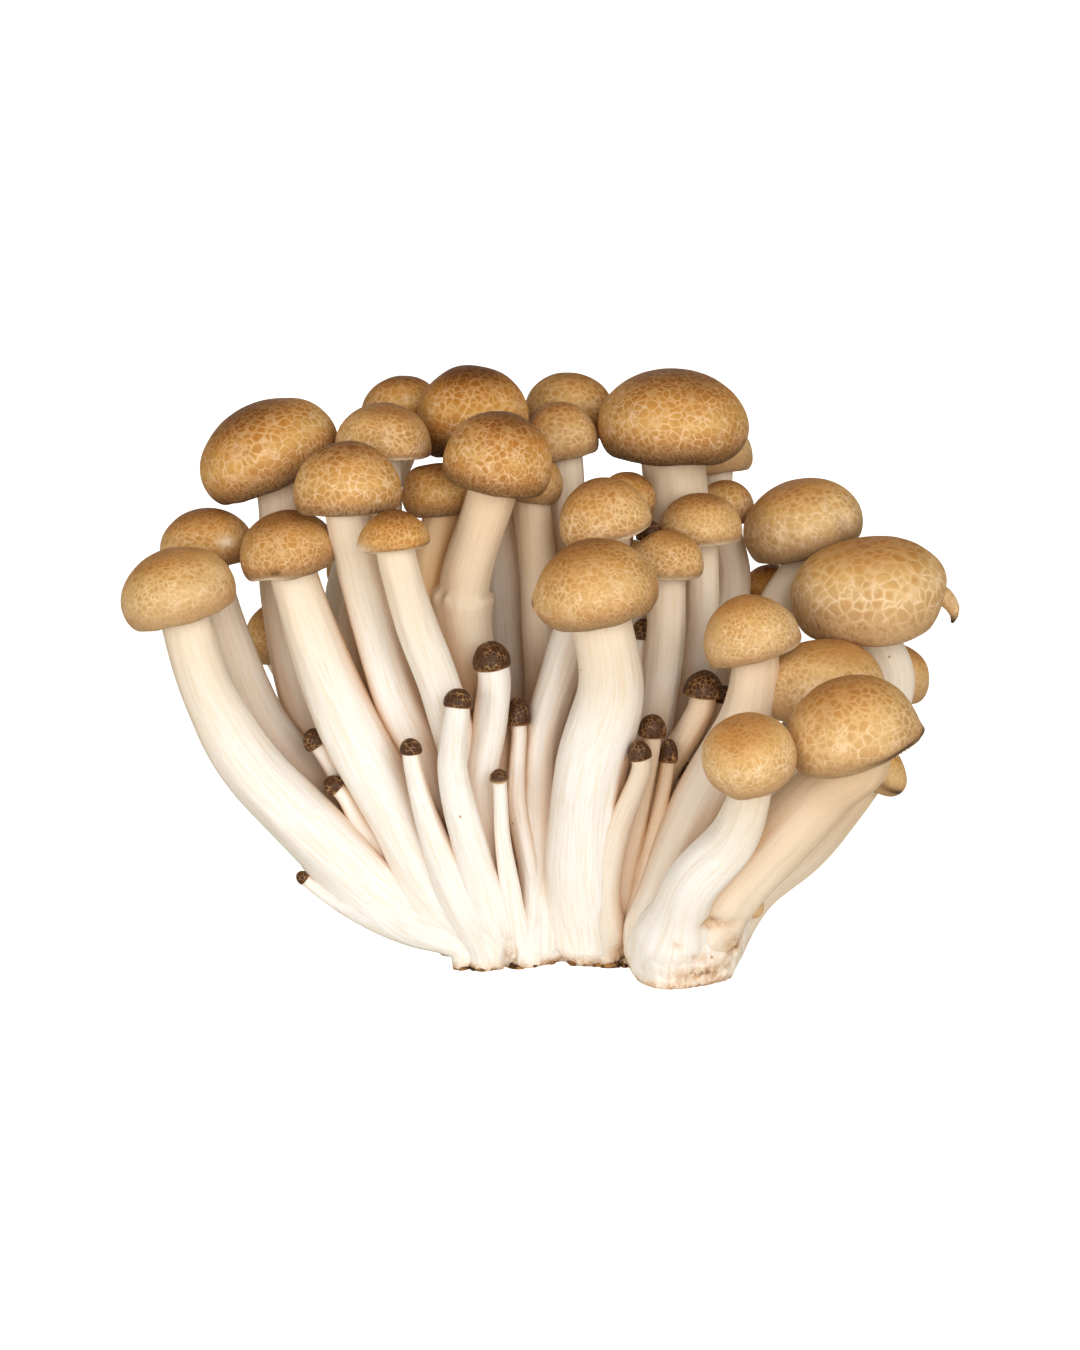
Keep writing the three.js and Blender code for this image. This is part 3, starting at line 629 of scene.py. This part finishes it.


# Stem flesh: near white with fine lengthwise fibres, with painted shade in the creases between stems, warmer
# towards the caps partly by its own tan and partly by painted shade, brown at the cut.
def stem_flesh():
    material, n, place = new_material("stem_flesh", 0.6, 0.25, 0.15, 1.0 * MM)
    fibre = n.number("fibre", "Vector")
    along = n.number("along")
    stain = n.number("stain")
    threads = n.grain(fibre, 2400.0, 3.0, 0.6)
    bands = n.grain(fibre, 480.0)
    n.base = n.mix(n.span(threads, 0.42, 0.68, 0.0, 0.7), (249, 247, 243), (238, 228, 211))
    n.paint(n.span(bands, 0.52, 0.72, 0.0, 0.3), (244, 231, 208))
    # Warmer towards the cap: partly the stem's own tan and partly painted shade under the cap.
    n.paint(n.span(along, 0.5, 1.0, 0.0, 0.55), (234, 204, 160))
    # Tan by stem, partly the stem's own colour and partly painted shade on stems behind others.
    n.paint(n.number("tan"), (226, 196, 154))
    # Painted shade: a warm tan darkening in the creases where stems stand close together, stronger towards
    # the caps.
    crease = n.put("ShaderNodeAmbientOcclusion", {"samples": 6, "only_local": True}, Distance=12 * MM)
    shade = n.span(crease.outputs["AO"], 0.05, 0.8, 0.8, 0.0)
    n.paint(n.times(shade, n.span(along, 0.1, 0.8, 0.6, 1.0)), (208, 152, 80))
    crumbly = n.span(n.grain(place, 600.0, 5.0, 0.7), 0.42, 0.6)
    n.paint(n.times(stain, 0.5), (228, 192, 142))
    n.paint(n.times(stain, crumbly), (190, 138, 80))
    n.paint(n.times(n.span(stain, 0.7, 1.0), crumbly), (84, 54, 28))
    speck = n.put("ShaderNodeTexVoronoi", {"feature": "F1"}, Vector=place, Scale=120.0)
    n.paint(n.span(speck.outputs["Distance"], 0.02, 0.035, 0.75, 0.0), (168, 120, 64))
    n.finish(n.calc("ADD", threads, bands), 0.6, 0.18 * MM)
    return material


# Bits of the growing block that cling to the cut face.
def crumb_matter():
    material, n, place = new_material("crumb_matter", 0.85, 0.2)
    n.base = n.mix(n.span(n.grain(place, 900.0, 4.0), 0.35, 0.65), (62, 38, 20), (176, 132, 82))
    n.finish(n.grain(place, 2000.0, 4.0), 0.6, 0.2 * MM)
    return material


# The floor: near white, with a glow that only the camera sees and that grows with distance, so that the floor
# stays white as far as it goes.
def floor_matter():
    material, n, place = new_material("floor_matter", 0.8, 0.1)
    shader = n.tree.nodes["Principled BSDF"]
    base = n.mix(n.grain(place, 30.0), (252, 246, 236), (248, 242, 232))
    n.plug(shader.inputs["Base Color"], base)
    away = n.put("ShaderNodeVectorMath", {"operation": "LENGTH"})
    n.plug(away.inputs[0], place)
    shader.inputs["Emission Color"].default_value = (1, 1, 1, 1)
    glow = n.span(away.outputs["Value"], *FLOOR_GLOW_REACH, *FLOOR_GLOW)
    seen_directly = n.put("ShaderNodeLightPath").outputs["Is Camera Ray"]
    n.plug(shader.inputs["Emission Strength"], n.times(glow, seen_directly))
    return material


# Meshes

def linked(name, data):
    made = bpy.data.objects.new(name, data)
    bpy.context.collection.objects.link(made)
    return made


# The noise's own place for one of the caps, stems or mounds.
def drifted(seed, drift):
    return Vector([seed * step for step in drift])


# A direction round an axis, flat in the cut's plane.
def around(turn):
    return Vector((math.cos(turn), math.sin(turn), 0))


# A mesh object from points and faces, with numbers for each point and a material for each face.
def make_piece(name, points, faces, materials, face_slots, numbers):
    mesh = bpy.data.meshes.new(name)
    mesh.from_pydata([tuple(p) for p in points], [], faces)
    for material in materials:
        mesh.materials.append(material)
    mesh.polygons.foreach_set("material_index", face_slots)
    mesh.polygons.foreach_set("use_smooth", [True] * len(faces))
    for key, values in numbers.items():
        values = np.asarray(values, dtype=np.float32)
        kind, field = ("FLOAT_VECTOR", "vector") if values.ndim == 2 else ("FLOAT", "value")
        mesh.attributes.new(key, kind, "POINT").data.foreach_set(field, values.ravel())
    mesh.update()
    piece = linked(name, mesh)
    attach(piece, "root")
    return piece


# Even turns all the way round.
def turns(count):
    return [2 * math.pi * i / count for i in range(count)]


# Quads of a grid of rings that closes on itself round each ring, from the point at index first.
def ring_faces(first, rings, columns):
    faces = []
    for ring in range(rings - 1):
        for column in range(columns):
            after = (column + 1) % columns
            low = first + ring * columns
            high = low + columns
            faces.append((low + column, low + after, high + after, high + column))
    return faces


# The faces of a tube of rings that is closed at both ends.
def tube_faces(first, rings, columns):
    last = first + (rings - 1) * columns
    ends = [range(first, first + columns)[::-1], range(last, last + columns)]
    return ring_faces(first, rings, columns) + [tuple(end) for end in ends]


# The triangles that close a ring onto one point.
def fan_faces(first, columns, tip, flip):
    pairs = [(first + column, first + (column + 1) % columns) for column in range(columns)]
    return [(b, a, tip) if flip else (a, b, tip) for a, b in pairs]


# Where a CAD cap is: its axis, the middle of its rim's plane, its height and its radius at every angle.
class Cap:
    def __init__(self, node):
        shape = bmesh.new()
        shape.from_mesh(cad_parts[node].data)
        bmesh.ops.remove_doubles(shape, verts=shape.verts, dist=1e-5)
        poles = sorted(shape.verts, key=lambda v: -len(v.link_edges))[:2]
        low, high = sorted((v.co.copy() for v in poles), key=lambda co: co.z)
        self.axis = (high - low).normalized()
        self.right = (RIGHT - self.axis * RIGHT.dot(self.axis)).normalized()
        self.back = self.axis.cross(self.right)
        offsets = [v.co - high for v in shape.verts]
        shape.free()
        self.height = -min(o.dot(self.axis) for o in offsets)
        self.rim = high - self.axis * self.height
        ring = []
        for o in offsets:
            rise = 1 + o.dot(self.axis) / self.height
            if RING_BAND[0] < rise < RING_BAND[1]:
                out = math.hypot(o.dot(self.right), o.dot(self.back))
                share = math.cos(math.asin((rise - WIDEST) / (1 - WIDEST)))
                ring.append((math.atan2(o.dot(self.back), o.dot(self.right)), out / share))
        self.ring = sorted(ring)
        self.radius = sum(r for _, r in self.ring) / len(self.ring)
        self.young = node.startswith("button")
        self.socket = self.rim + self.axis * (0 if self.young else WIDEST * self.height)
        self.middle = self.rim + self.axis * (self.height / 2)

    # The radius at an angle: the broad form of the CAD ring, without its corners.
    def radius_at(self, angles):
        known = np.array([a for a, _ in self.ring])
        values = np.array([r for _, r in self.ring])
        thrice = np.concatenate([known - 2 * math.pi, known, known + 2 * math.pi])
        waves = np.fft.rfft(np.interp(turns(RING_STEPS), thrice, np.tile(values, 3))) / RING_STEPS
        radius = np.full(len(angles), waves[0].real)
        for order in range(1, RING_WAVES + 1):
            radius += 2 * (waves[order] * np.exp(1j * order * angles)).real
        return radius

    # A point of the cap's own space in the scene: out along the radius at an angle, and up from the rim.
    def point(self, angle, out, rise):
        across = self.right * math.cos(angle) + self.back * math.sin(angle)
        return self.rim + across * out + self.axis * rise


# How high the roof under a cap is on the way from the lip to the stem, as a share of the cap's height.
def roof(share, top):
    return LIP + (top - LIP) * share ** ROOF_BEND


# Even steps from a place on a cap to another one, each with its share of the way.
def steps(count, start, end):
    return [(i / count, start + (end - start) * i / count) for i in range(1, count + 1)]


# Rows of a cap's profile from the top over the widest line and the rolled rim to the gills: share of the
# radius, share of the height and place from the top.
def cap_rows(young, neck_share, shape):
    widest, rim, pointed = shape
    rows = []
    dome, roll, lip, under = BUTTON_ROWS if young else CAP_ROWS
    for share, place in steps(dome, 0, 1):
        turn = math.pi / 2 * (1 - share)
        rows.append((math.cos(turn) ** pointed, widest + (1 - widest) * math.sin(turn), place))
    for share, place in steps(roll, 1, RIM_PLACE):
        turn = math.pi / 2 * share
        rows.append((rim + (1 - rim) * math.cos(turn), widest * (1 - math.sin(turn)), place))
    for share, place in steps(lip, RIM_PLACE, LIP_PLACE):
        turn = math.pi / 2 * share
        rows.append((rim - LIP * math.sin(turn), LIP * (1 - math.cos(turn)), place))
    top = YOUNG_ROOF if young else WIDEST
    for share, place in steps(under, LIP_PLACE, GILL_PLACE):
        rows.append(((rim - LIP) * (1 - share) + neck_share * share, roof(share, top), place))
    return rows


# How much the marks of one kind change a cap at angles and a place on it.
def marked(marks, kind, angles, place):
    total = np.zeros(len(angles))
    for sort, at, middle, wide, tall, amount in marks:
        if sort == kind:
            off = angles - math.radians(at)
            off = np.degrees(np.arctan2(np.sin(off), np.cos(off)))
            total += amount * np.exp(-((off / wide) ** 2) - ((place - middle) / tall) ** 2)
    return total


# Moves a point of a cap's skin by lumps and dents and by the waves of the rim.
def lumpy(cap, point, angle, place, drift):
    swell = noise.noise(point / (LUMP_SIZE * cap.radius) + drift) * LUMP_HEIGHT * cap.radius
    swell += noise.noise(point / DENT_SIZE + drift) * DENT_HEIGHT
    near_rim = max(0.0, 1 - abs(place - WAVE_PLACE) / WAVE_REACH)
    wave = noise.noise(around(angle) * WAVES + drift) * WAVE_HEIGHT * cap.radius * near_rim
    return point + (point - cap.socket).normalized() * swell + cap.axis * wave


# Adds the numbers of a cap's further points.
def extend(numbers, count, polar, dark=0.0):
    for key, value in (("polar", polar), ("pale", 0.0), ("dark", dark)):
        numbers[key].extend([value] * count)


# One cap as a closed mesh with its gills and its flap, if it has one.
def make_cap(node, skin, flesh, seed):
    cap = Cap(node)
    neck = STEMS[node][1][2] * MM
    columns = BUTTON_COLUMNS if cap.young else WIDE_COLUMNS if cap.radius > WIDE_CAP else CAP_COLUMNS
    shape = CAP_SHAPES.get(node, BUTTON_SHAPE if cap.young else PLAIN_SHAPE)
    rows = cap_rows(cap.young, min(neck / cap.radius, NECK_MOST), shape)
    angles = np.array(turns(columns))
    radii = cap.radius_at(angles)
    drift = drifted(seed, CAP_DRIFT)
    marks = MARKS.get(node, [])
    points = [cap.rim + cap.axis * cap.height]
    numbers = {"polar": [0.0], "pale": [0.0], "dark": [0.0]}
    for share, rise, place in rows:
        outs = radii * share + marked(marks, "out", angles, place) * cap.radius
        lifts = rise * cap.height + marked(marks, "up", angles, place) * cap.radius
        for angle, out, lift in zip(angles, outs, lifts):
            point = cap.point(angle, out, lift)
            points.append(lumpy(cap, point, angle, place, drift) if place < LUMP_END else point)
        numbers["polar"].extend([place] * columns)
        for kind in ("pale", "dark"):
            numbers[kind].extend(np.clip(marked(marks, kind, angles, place), 0, 1))
    points.append(cap.rim + cap.axis * cap.height * (YOUNG_ROOF if cap.young else WIDEST))
    extend(numbers, 1, GILL_PLACE)
    faces = fan_faces(1, columns, 0, False)
    faces += [face[::-1] for face in ring_faces(1, len(rows), columns)]
    last = 1 + (len(rows) - 1) * columns
    faces += fan_faces(last, columns, len(points) - 1, True)
    if not cap.young:
        add_gills(cap, neck, shape[1], points, faces, numbers)
    if node in FLAPS:
        add_flap(cap, FLAPS[node], points, faces, numbers)
    slots = [0 if max(numbers["polar"][i] for i in face) < SKIN_END else 1 for face in faces]
    tone, cells, net = CAP_LOOKS.get(node, PLAIN_LOOK)
    if cap.young:
        tone = BUTTON_TONES.get(node, 1.0)
    for key, value in (("tone", tone), ("cells", 1 / (cells * MM)), ("net", net)):
        numbers[key] = [value] * len(points)
    piece = make_piece(node + "_skin", points, faces, [skin, flesh], slots, numbers)
    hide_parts(node)
    return cap


# Gills: thin blades that hang from a cap's underside between the lip and the stem.
def add_gills(cap, neck, rim, points, faces, numbers):
    blades = round(math.pi * cap.radius / GILL_STEP)
    for angle in turns(blades):
        far = float(cap.radius_at(np.array([angle]))[0]) * (rim - GILL_INSET)
        first = len(points)
        for station in range(GILL_STATIONS + 1):
            share = station / GILL_STATIONS
            out = far * (1 - share) + neck * GILL_NECK * share
            root = roof(share, WIDEST) * cap.height + GILL_ROOT
            edge = (GILL_EDGE + GILL_RISE * share) * cap.height
            half_turn = GILL_HALF / out
            for turn, rise in ((-half_turn, root), (-half_turn, edge), (half_turn, edge), (half_turn, root)):
                points.append(cap.point(angle + turn, out, rise))
        extend(numbers, len(points) - first, GILL_PLACE)
        faces += tube_faces(first, GILL_STATIONS + 1, 4)


# A flap of torn skin that hangs from a cap's edge, dark at its tip.
def add_flap(cap, passed, points, faces, numbers):
    back = depth_of(cap.middle)
    first = len(points)
    places = [seen(across * MM, up * MM, back) for across, up, _ in passed]
    line, runs = smooth_line(places, STEM_STEP / 2)
    halves = np.interp(runs, np.linspace(0, runs[-1], len(passed)), [half * MM for _, _, half in passed])
    for i, (place, half) in enumerate(zip(line, halves)):
        ahead = (line[min(i + 1, len(line) - 1)] - line[max(i - 1, 0)]).normalized()
        out = SIGHT.cross(ahead) * half
        deep = SIGHT * half * FLAP_DEPTH
        for turn in turns(FLAP_COLUMNS):
            points.append(place + out * math.cos(turn) + deep * math.sin(turn))
        extend(numbers, FLAP_COLUMNS, 1.0, float(smooth(i / len(line), *FLAP_DARK)))
    faces += tube_faces(first, len(line), FLAP_COLUMNS)


# Stems

def depth_of(point):
    return (point - VIEW_MIDDLE).dot(SIGHT)


# The point that the photo shows at a place across and up, at a depth back along the line of sight.
def seen(across, up, back):
    spread = 1 + back / VIEW_DISTANCE
    return VIEW_MIDDLE + (RIGHT * across + VIEW_UP * up) * spread + SIGHT * back


# Points along a smooth line through the given ones, with steps of about even length.
def smooth_line(through, step):
    ends = [through[0] * 2 - through[1], *through, through[-1] * 2 - through[-2]]
    dense = [through[0]]
    for p0, p1, p2, p3 in zip(ends, ends[1:], ends[2:], ends[3:]):
        d0, d1, d2 = (math.sqrt((b - a).length) for a, b in ((p0, p1), (p1, p2), (p2, p3)))
        start = ((p1 - p0) / d0 - (p2 - p0) / (d0 + d1) + (p2 - p1) / d1) * d1
        end = ((p2 - p1) / d1 - (p3 - p1) / (d1 + d2) + (p3 - p2) / d2) * d1
        for i in range(1, CURVE_STEPS + 1):
            t = i / CURVE_STEPS
            bend = (p2 - p1) * 3 - start * 2 - end
            close = (p1 - p2) * 2 + start + end
            dense.append(p1 + start * t + bend * t ** 2 + close * t ** 3)
    dense = np.array(dense)
    runs = np.concatenate([[0], np.cumsum(np.linalg.norm(np.diff(dense, axis=0), axis=1))])
    even = np.linspace(0, runs[-1], round(runs[-1] / step) + 1)
    line = np.stack([np.interp(even, runs, dense[:, k]) for k in range(3)], axis=1)
    return [Vector(p) for p in line], even


# The line of a stem from its foot on the cut face, past the places it is seen at, up into its cap.
def stem_line(node, cap):
    (x, y), _, via = STEMS[node]
    foot = Vector((x, y, 0)) * MM
    top = cap.socket - cap.axis * CAP_GAP
    neck = top - cap.axis * NECK_SHARE * cap.radius
    foot_back = depth_of(foot)
    foot_up = (foot - VIEW_MIDDLE).dot(VIEW_UP)
    cap_back = depth_of(cap.middle)
    cap_up = (cap.middle - VIEW_MIDDLE).dot(VIEW_UP) / (1 + cap_back / VIEW_DISTANCE)
    passed = []
    for across, up, *further in via:
        share = (up * MM - foot_up) / (cap_up - foot_up)
        back = foot_back + (cap_back - foot_back) * share + sum(further) * MM
        passed.append(seen(across * MM, up * MM, back))
    rise = foot + UP * FOOT_RISE
    return smooth_line([foot, rise, *passed, neck, top + cap.axis * SEAT], STEM_STEP)


# How far the surface of a stem stands out at a turn round it and a run along it, where 1 is its radius.
def stem_relief(turn, run, drift):
    relief = 1
    for order, (close, length, height) in enumerate(STEM_RELIEF, 1):
        place = around(turn) * close + UP * (run / (length * MM))
        relief += noise.noise(place + drift * order) * height
    return relief


# How far a torn sheath stands out from a stem at a height, or nothing where the stem has none.
def sheath(node, turn, seed, height):
    if node not in LEDGES:
        return 0.0
    edge, out, fade = (size * MM for size in LEDGES[node])
    edge += noise.noise((around(turn) + UP * seed) * LEDGE_WAVES) * LEDGE_RAGGED
    below = edge - height
    return out * float(smooth(below, -LEDGE_STEP, LEDGE_STEP)) * math.exp(-max(below, 0) / fade)


# Adds one stem to the shared mesh lists.
def add_stem(node, cap, seed, body):
    foot, middle, neck = (r * MM for r in STEMS[node][1])
    columns = YOUNG_COLUMNS if cap.young else STEM_COLUMNS
    line, runs = stem_line(node, cap)
    share = runs / runs[-1]
    swollen = foot + (middle - foot) * smooth(share, 0, SWELL_END)
    radii = swollen + (neck - swollen) * smooth(share, TAPER_START, 1)
    radii *= 1 - FOOT_TUCK * np.clip(1 - runs / TUCK_TOP, 0, 1) ** 2
    drift = drifted(seed, STEM_DRIFT)
    along = share * (YOUNG_ALONG if cap.young else 1)
    # The stem's tan, partly painted shade, growing towards its cap.
    tan = STEM_TANS_AND_SHADE.get(node, 0.0) * (FOOT_TAN + (1 - FOOT_TAN) * share)
    first = len(body["points"])
    heading = [UP, *((after - before).normalized() for before, after in zip(line, line[2:])), cap.axis]
    for i, (place, run, ahead) in enumerate(zip(line, runs, heading)):
        side = (DEPTH - ahead * DEPTH.dot(ahead)).normalized()
        other = side.cross(ahead)
        for turn in turns(columns):
            radius = radii[i] * stem_relief(turn, run, drift) + sheath(node, turn, seed, place.z)
            outward = side * math.cos(turn) + other * math.sin(turn)
            point = place + outward * radius
            point.z = max(point.z, 0) if i else 0
            fibre = around(turn) * radius
            body["points"].append(point)
            body["outward"].append(outward)
            body["fibre"].append((fibre.x + seed * FIBRE_SHIFT, fibre.y, run / FIBRE_STRETCH))
        body["along"].extend([along[i]] * columns)
        body["tan"].extend([tan[i]] * columns)
    body["owner"].extend([len(MOUNDS) + seed] * (len(body["points"]) - first))
    low = [(*p, r) for p, r in zip(line, radii) if p.z < JOIN_TOP + JOIN_MARGIN]
    body["lines"].append(np.array(low))
    body["faces"] += tube_faces(first, len(line), columns)


# How far a spot of the butt reaches at points, from 0 to 1.
def spot_reach(points, at, half):
    return np.exp(-(((points - np.array(at) * MM) / (np.array(half) * MM)) ** 2).sum(axis=1))


# How stained points of the stems are: brown at the cut and at a few spots on the butt.
def stains(points):
    stain = CUT_STAIN * (1 - smooth(points[:, 2], *CUT_STAIN_FADE))
    for at, half, brown, _ in SPOTS:
        stain += brown * spot_reach(points, at, half)
    return np.clip(stain, 0, 1)


# How far the surface of a mound stands out at a point of it.
def mound_relief(point, turn, drift):
    size, height = MOUND_LUMP
    relief = noise.noise(point / size + drift) * height
    close, height = MOUND_GROOVE
    relief += noise.noise(around(turn) * close + drift) * height
    close, size, height = MOUND_LAYER
    return relief + noise.noise(around(turn) * close + UP * (point.z / size) + drift) * height


# Adds one mound of the butt, with lengthwise grooves, to the shared mesh lists.
def add_mound(mound, seed, body):
    (x, y), half, height, rise, _ = mound
    first = len(body["points"])
    drift = drifted(seed, MOUND_DRIFT)
    for tilt in np.linspace(-math.pi / 2, math.pi / 2, MOUND_ROWS):
        out = math.cos(tilt)
        up = MOUND_WAIST + (1 - MOUND_WAIST) * math.sin(tilt)
        for turn in turns(MOUND_COLUMNS):
            sideways = Vector((math.cos(turn) * half[0], math.sin(turn) * half[1], 0)) * out
            point = (Vector((x, y, rise + up * height)) + sideways) * MM
            push = (sideways.normalized() * out + UP * math.sin(tilt)).normalized()
            point += push * mound_relief(point, turn, drift)
            point.z = max(point.z, 0)
            body["points"].append(point)
            body["outward"].append(push)
            body["fibre"].append((*(around(turn) * half[0] * MM).xy, point.z / FIBRE_STRETCH))
    count = len(body["points"]) - first
    for key, value in (("along", 0.0), ("tan", 0.0), ("owner", seed)):
        body[key].extend([value] * count)
    body["faces"] += ring_faces(first, MOUND_ROWS, MOUND_COLUMNS)


# How far points are from the surface of a mound, measured towards its middle.
def mound_distance(points, mound):
    (x, y), half, height, rise, _ = mound
    middle = np.array((x, y, rise + height * MOUND_WAIST)) * MM
    size = np.array((half[0], half[1], height * (1 - MOUND_WAIST))) * MM
    away = np.linalg.norm(points - middle, axis=1)
    share = np.linalg.norm((points - middle) / size, axis=1) + 1e-6
    return away * (1 - 1 / share)


# How far points are from the surface of each stem, taken as balls along its line.
def stem_distances(points, lines):
    nearest = []
    for line in lines:
        middles, radii = line[:, :3], line[:, 3]
        apart = (points ** 2).sum(axis=1)[:, None] + (middles ** 2).sum(axis=1) - 2 * points @ middles.T
        nearest.append((np.sqrt(np.maximum(apart, 0)) - radii).min(axis=1))
    return np.stack(nearest, axis=1)


# Swells each stem and mound where it nears another one, so that they grow together in rounded joins, and then
# tears the spots of the butt.
def grow_together(body):
    points = np.array(body["points"])
    low = np.flatnonzero(points[:, 2] < JOIN_TOP)
    mounds = np.stack([mound_distance(points[low], mound) for mound in MOUNDS], axis=1)
    away = np.concatenate([mounds, stem_distances(points[low], body["lines"])], axis=1)
    mine = (np.arange(len(low)), np.array(body["owner"])[low])
    own = away[mine]
    away[mine] = np.inf
    joins = np.array([mound[4] * MM for mound in MOUNDS] + [JOIN_WIDTH] * len(body["lines"]))
    width = (1 + JOIN_LEFT - smooth(points[low, 2], JOIN_LOW, JOIN_TOP))[:, None] * joins
    closeness = np.clip((own[:, None] - away) / width, -JOIN_CLOSEST, JOIN_CLOSEST)
    swell = np.minimum((width * np.log1p(np.exp(closeness))).max(axis=1), JOIN_MOST)
    points[low] += np.array(body["outward"])[low] * swell[:, None]
    for at, half, _, deep in SPOTS:
        torn = spot_reach(points, at, half)
        near = np.flatnonzero(torn > SPOT_LEAST)
        ragged = np.array([1 + noise.noise(Vector(point) / TEAR_SIZE) for point in points[near]])
        points[near] -= np.array(body["outward"])[near] * (torn[near] * ragged * deep * MM)[:, None]
    points[:, 2] = np.maximum(points[:, 2], 0)
    return points


# All the stems and the butt as one piece.
def make_stems(caps, flesh):
    body = {key: [] for key in ("points", "faces", "outward", "along", "tan", "fibre", "owner", "lines")}
    for seed, mound in enumerate(MOUNDS):
        add_mound(mound, seed, body)
    for seed, (node, cap) in enumerate(caps.items()):
        add_stem(node, cap, seed, body)
    points = grow_together(body)
    numbers = {key: body[key] for key in ("along", "tan", "fibre")}
    numbers["stain"] = stains(points)
    faces = body["faces"]
    piece = make_piece("stem_flesh", points, faces, [flesh], [0] * len(faces), numbers)
    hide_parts("stems")


# Crumbs of the growing block along the front edge of the cut.
def make_crumbs(matter):
    draw = random.Random(CRUMB_SEED)
    shape = bmesh.new()
    for (x, y), radii, _ in STEMS.values():
        if y > CRUMB_FRONT:
            continue
        for _ in range(CRUMBS_PER_FOOT):
            outward = around(draw.uniform(*CRUMB_TURNS))
            middle = Vector((x, y, draw.uniform(*CRUMB_HEIGHTS)))
            middle = (middle + outward * radii[0] * CRUMB_OUT) * MM
            long, deep, tall = (draw.uniform(*sizes) for sizes in CRUMB_SIZES)
            for vert in bmesh.ops.create_icosphere(shape, subdivisions=2, radius=MM)["verts"]:
                rough = 1 + CRUMB_ROUGH * noise.noise(vert.co / CRUMB_GRAIN + middle * CRUMB_DRIFT)
                along = outward.cross(UP) * vert.co.x * long
                vert.co = middle + (along + outward * vert.co.y * deep + UP * vert.co.z * tall) * rough
                vert.co.z = max(vert.co.z, 0)
    shape.verts.index_update()
    points = [vert.co for vert in shape.verts]
    faces = [[vert.index for vert in face.verts] for face in shape.faces]
    piece = make_piece("base_crumbs", points, faces, [matter], [0] * len(faces), {})
    shape.free()


# Camera, light and floor

def aim(thing, place, target):
    thing.location = place
    thing.rotation_euler = (target - place).to_track_quat("-Z", "Y").to_euler()


def make_camera():
    data = bpy.data.cameras.new("photo_view")
    data.sensor_fit = "VERTICAL"
    data.sensor_height = SENSOR_HEIGHT
    data.lens = SENSOR_HEIGHT * VIEW_DISTANCE / FRAME_HEIGHT
    camera = linked("photo_view", data)
    aim(camera, VIEW_MIDDLE - SIGHT * VIEW_DISTANCE, VIEW_MIDDLE)
    bpy.context.scene.camera = camera


def make_light(name, place, size, power):
    data = bpy.data.lights.new(name, "AREA")
    data.shape = "DISK"
    data.size = size
    data.energy = power
    aim(linked(name, data), Vector(place), VIEW_MIDDLE)


# A room that is white to look at and dim and warm as light.
def light_room(tree):
    n = Nodes(tree)
    seen_directly = n.put("ShaderNodeLightPath").outputs["Is Camera Ray"]
    room = tree.nodes["Background"]
    n.plug(room.inputs["Color"], n.mix(seen_directly, WORLD_TINT, (255, 255, 255)))
    n.plug(room.inputs["Strength"], n.span(seen_directly, 0.0, 1.0, WORLD_LIGHT, 1.0))


def make_floor(matter):
    mesh = bpy.data.meshes.new("floor")
    corners = [(x * FLOOR_HALF, y * FLOOR_HALF, 0) for x, y in ((-1, -1), (1, -1), (1, 1), (-1, 1))]
    mesh.from_pydata(corners, [], [(0, 1, 2, 3)])
    mesh.materials.append(matter)
    floor = linked("floor", mesh)


scene = bpy.context.scene
scene.view_settings.view_transform = "Standard"
world = bpy.data.worlds.new("studio")
world.use_nodes = True
scene.world = world
light_room(world.node_tree)
make_camera()
for light in LIGHTS:
    make_light(*light)
make_floor(floor_matter())

skin = cap_skin()
young_skin = button_skin()
gills = gill_flesh()
caps = {}
for index, node in enumerate(STEMS):
    caps[node] = make_cap(node, young_skin if node.startswith("button") else skin, gills, index)
make_stems(caps, stem_flesh())
make_crumbs(crumb_matter())
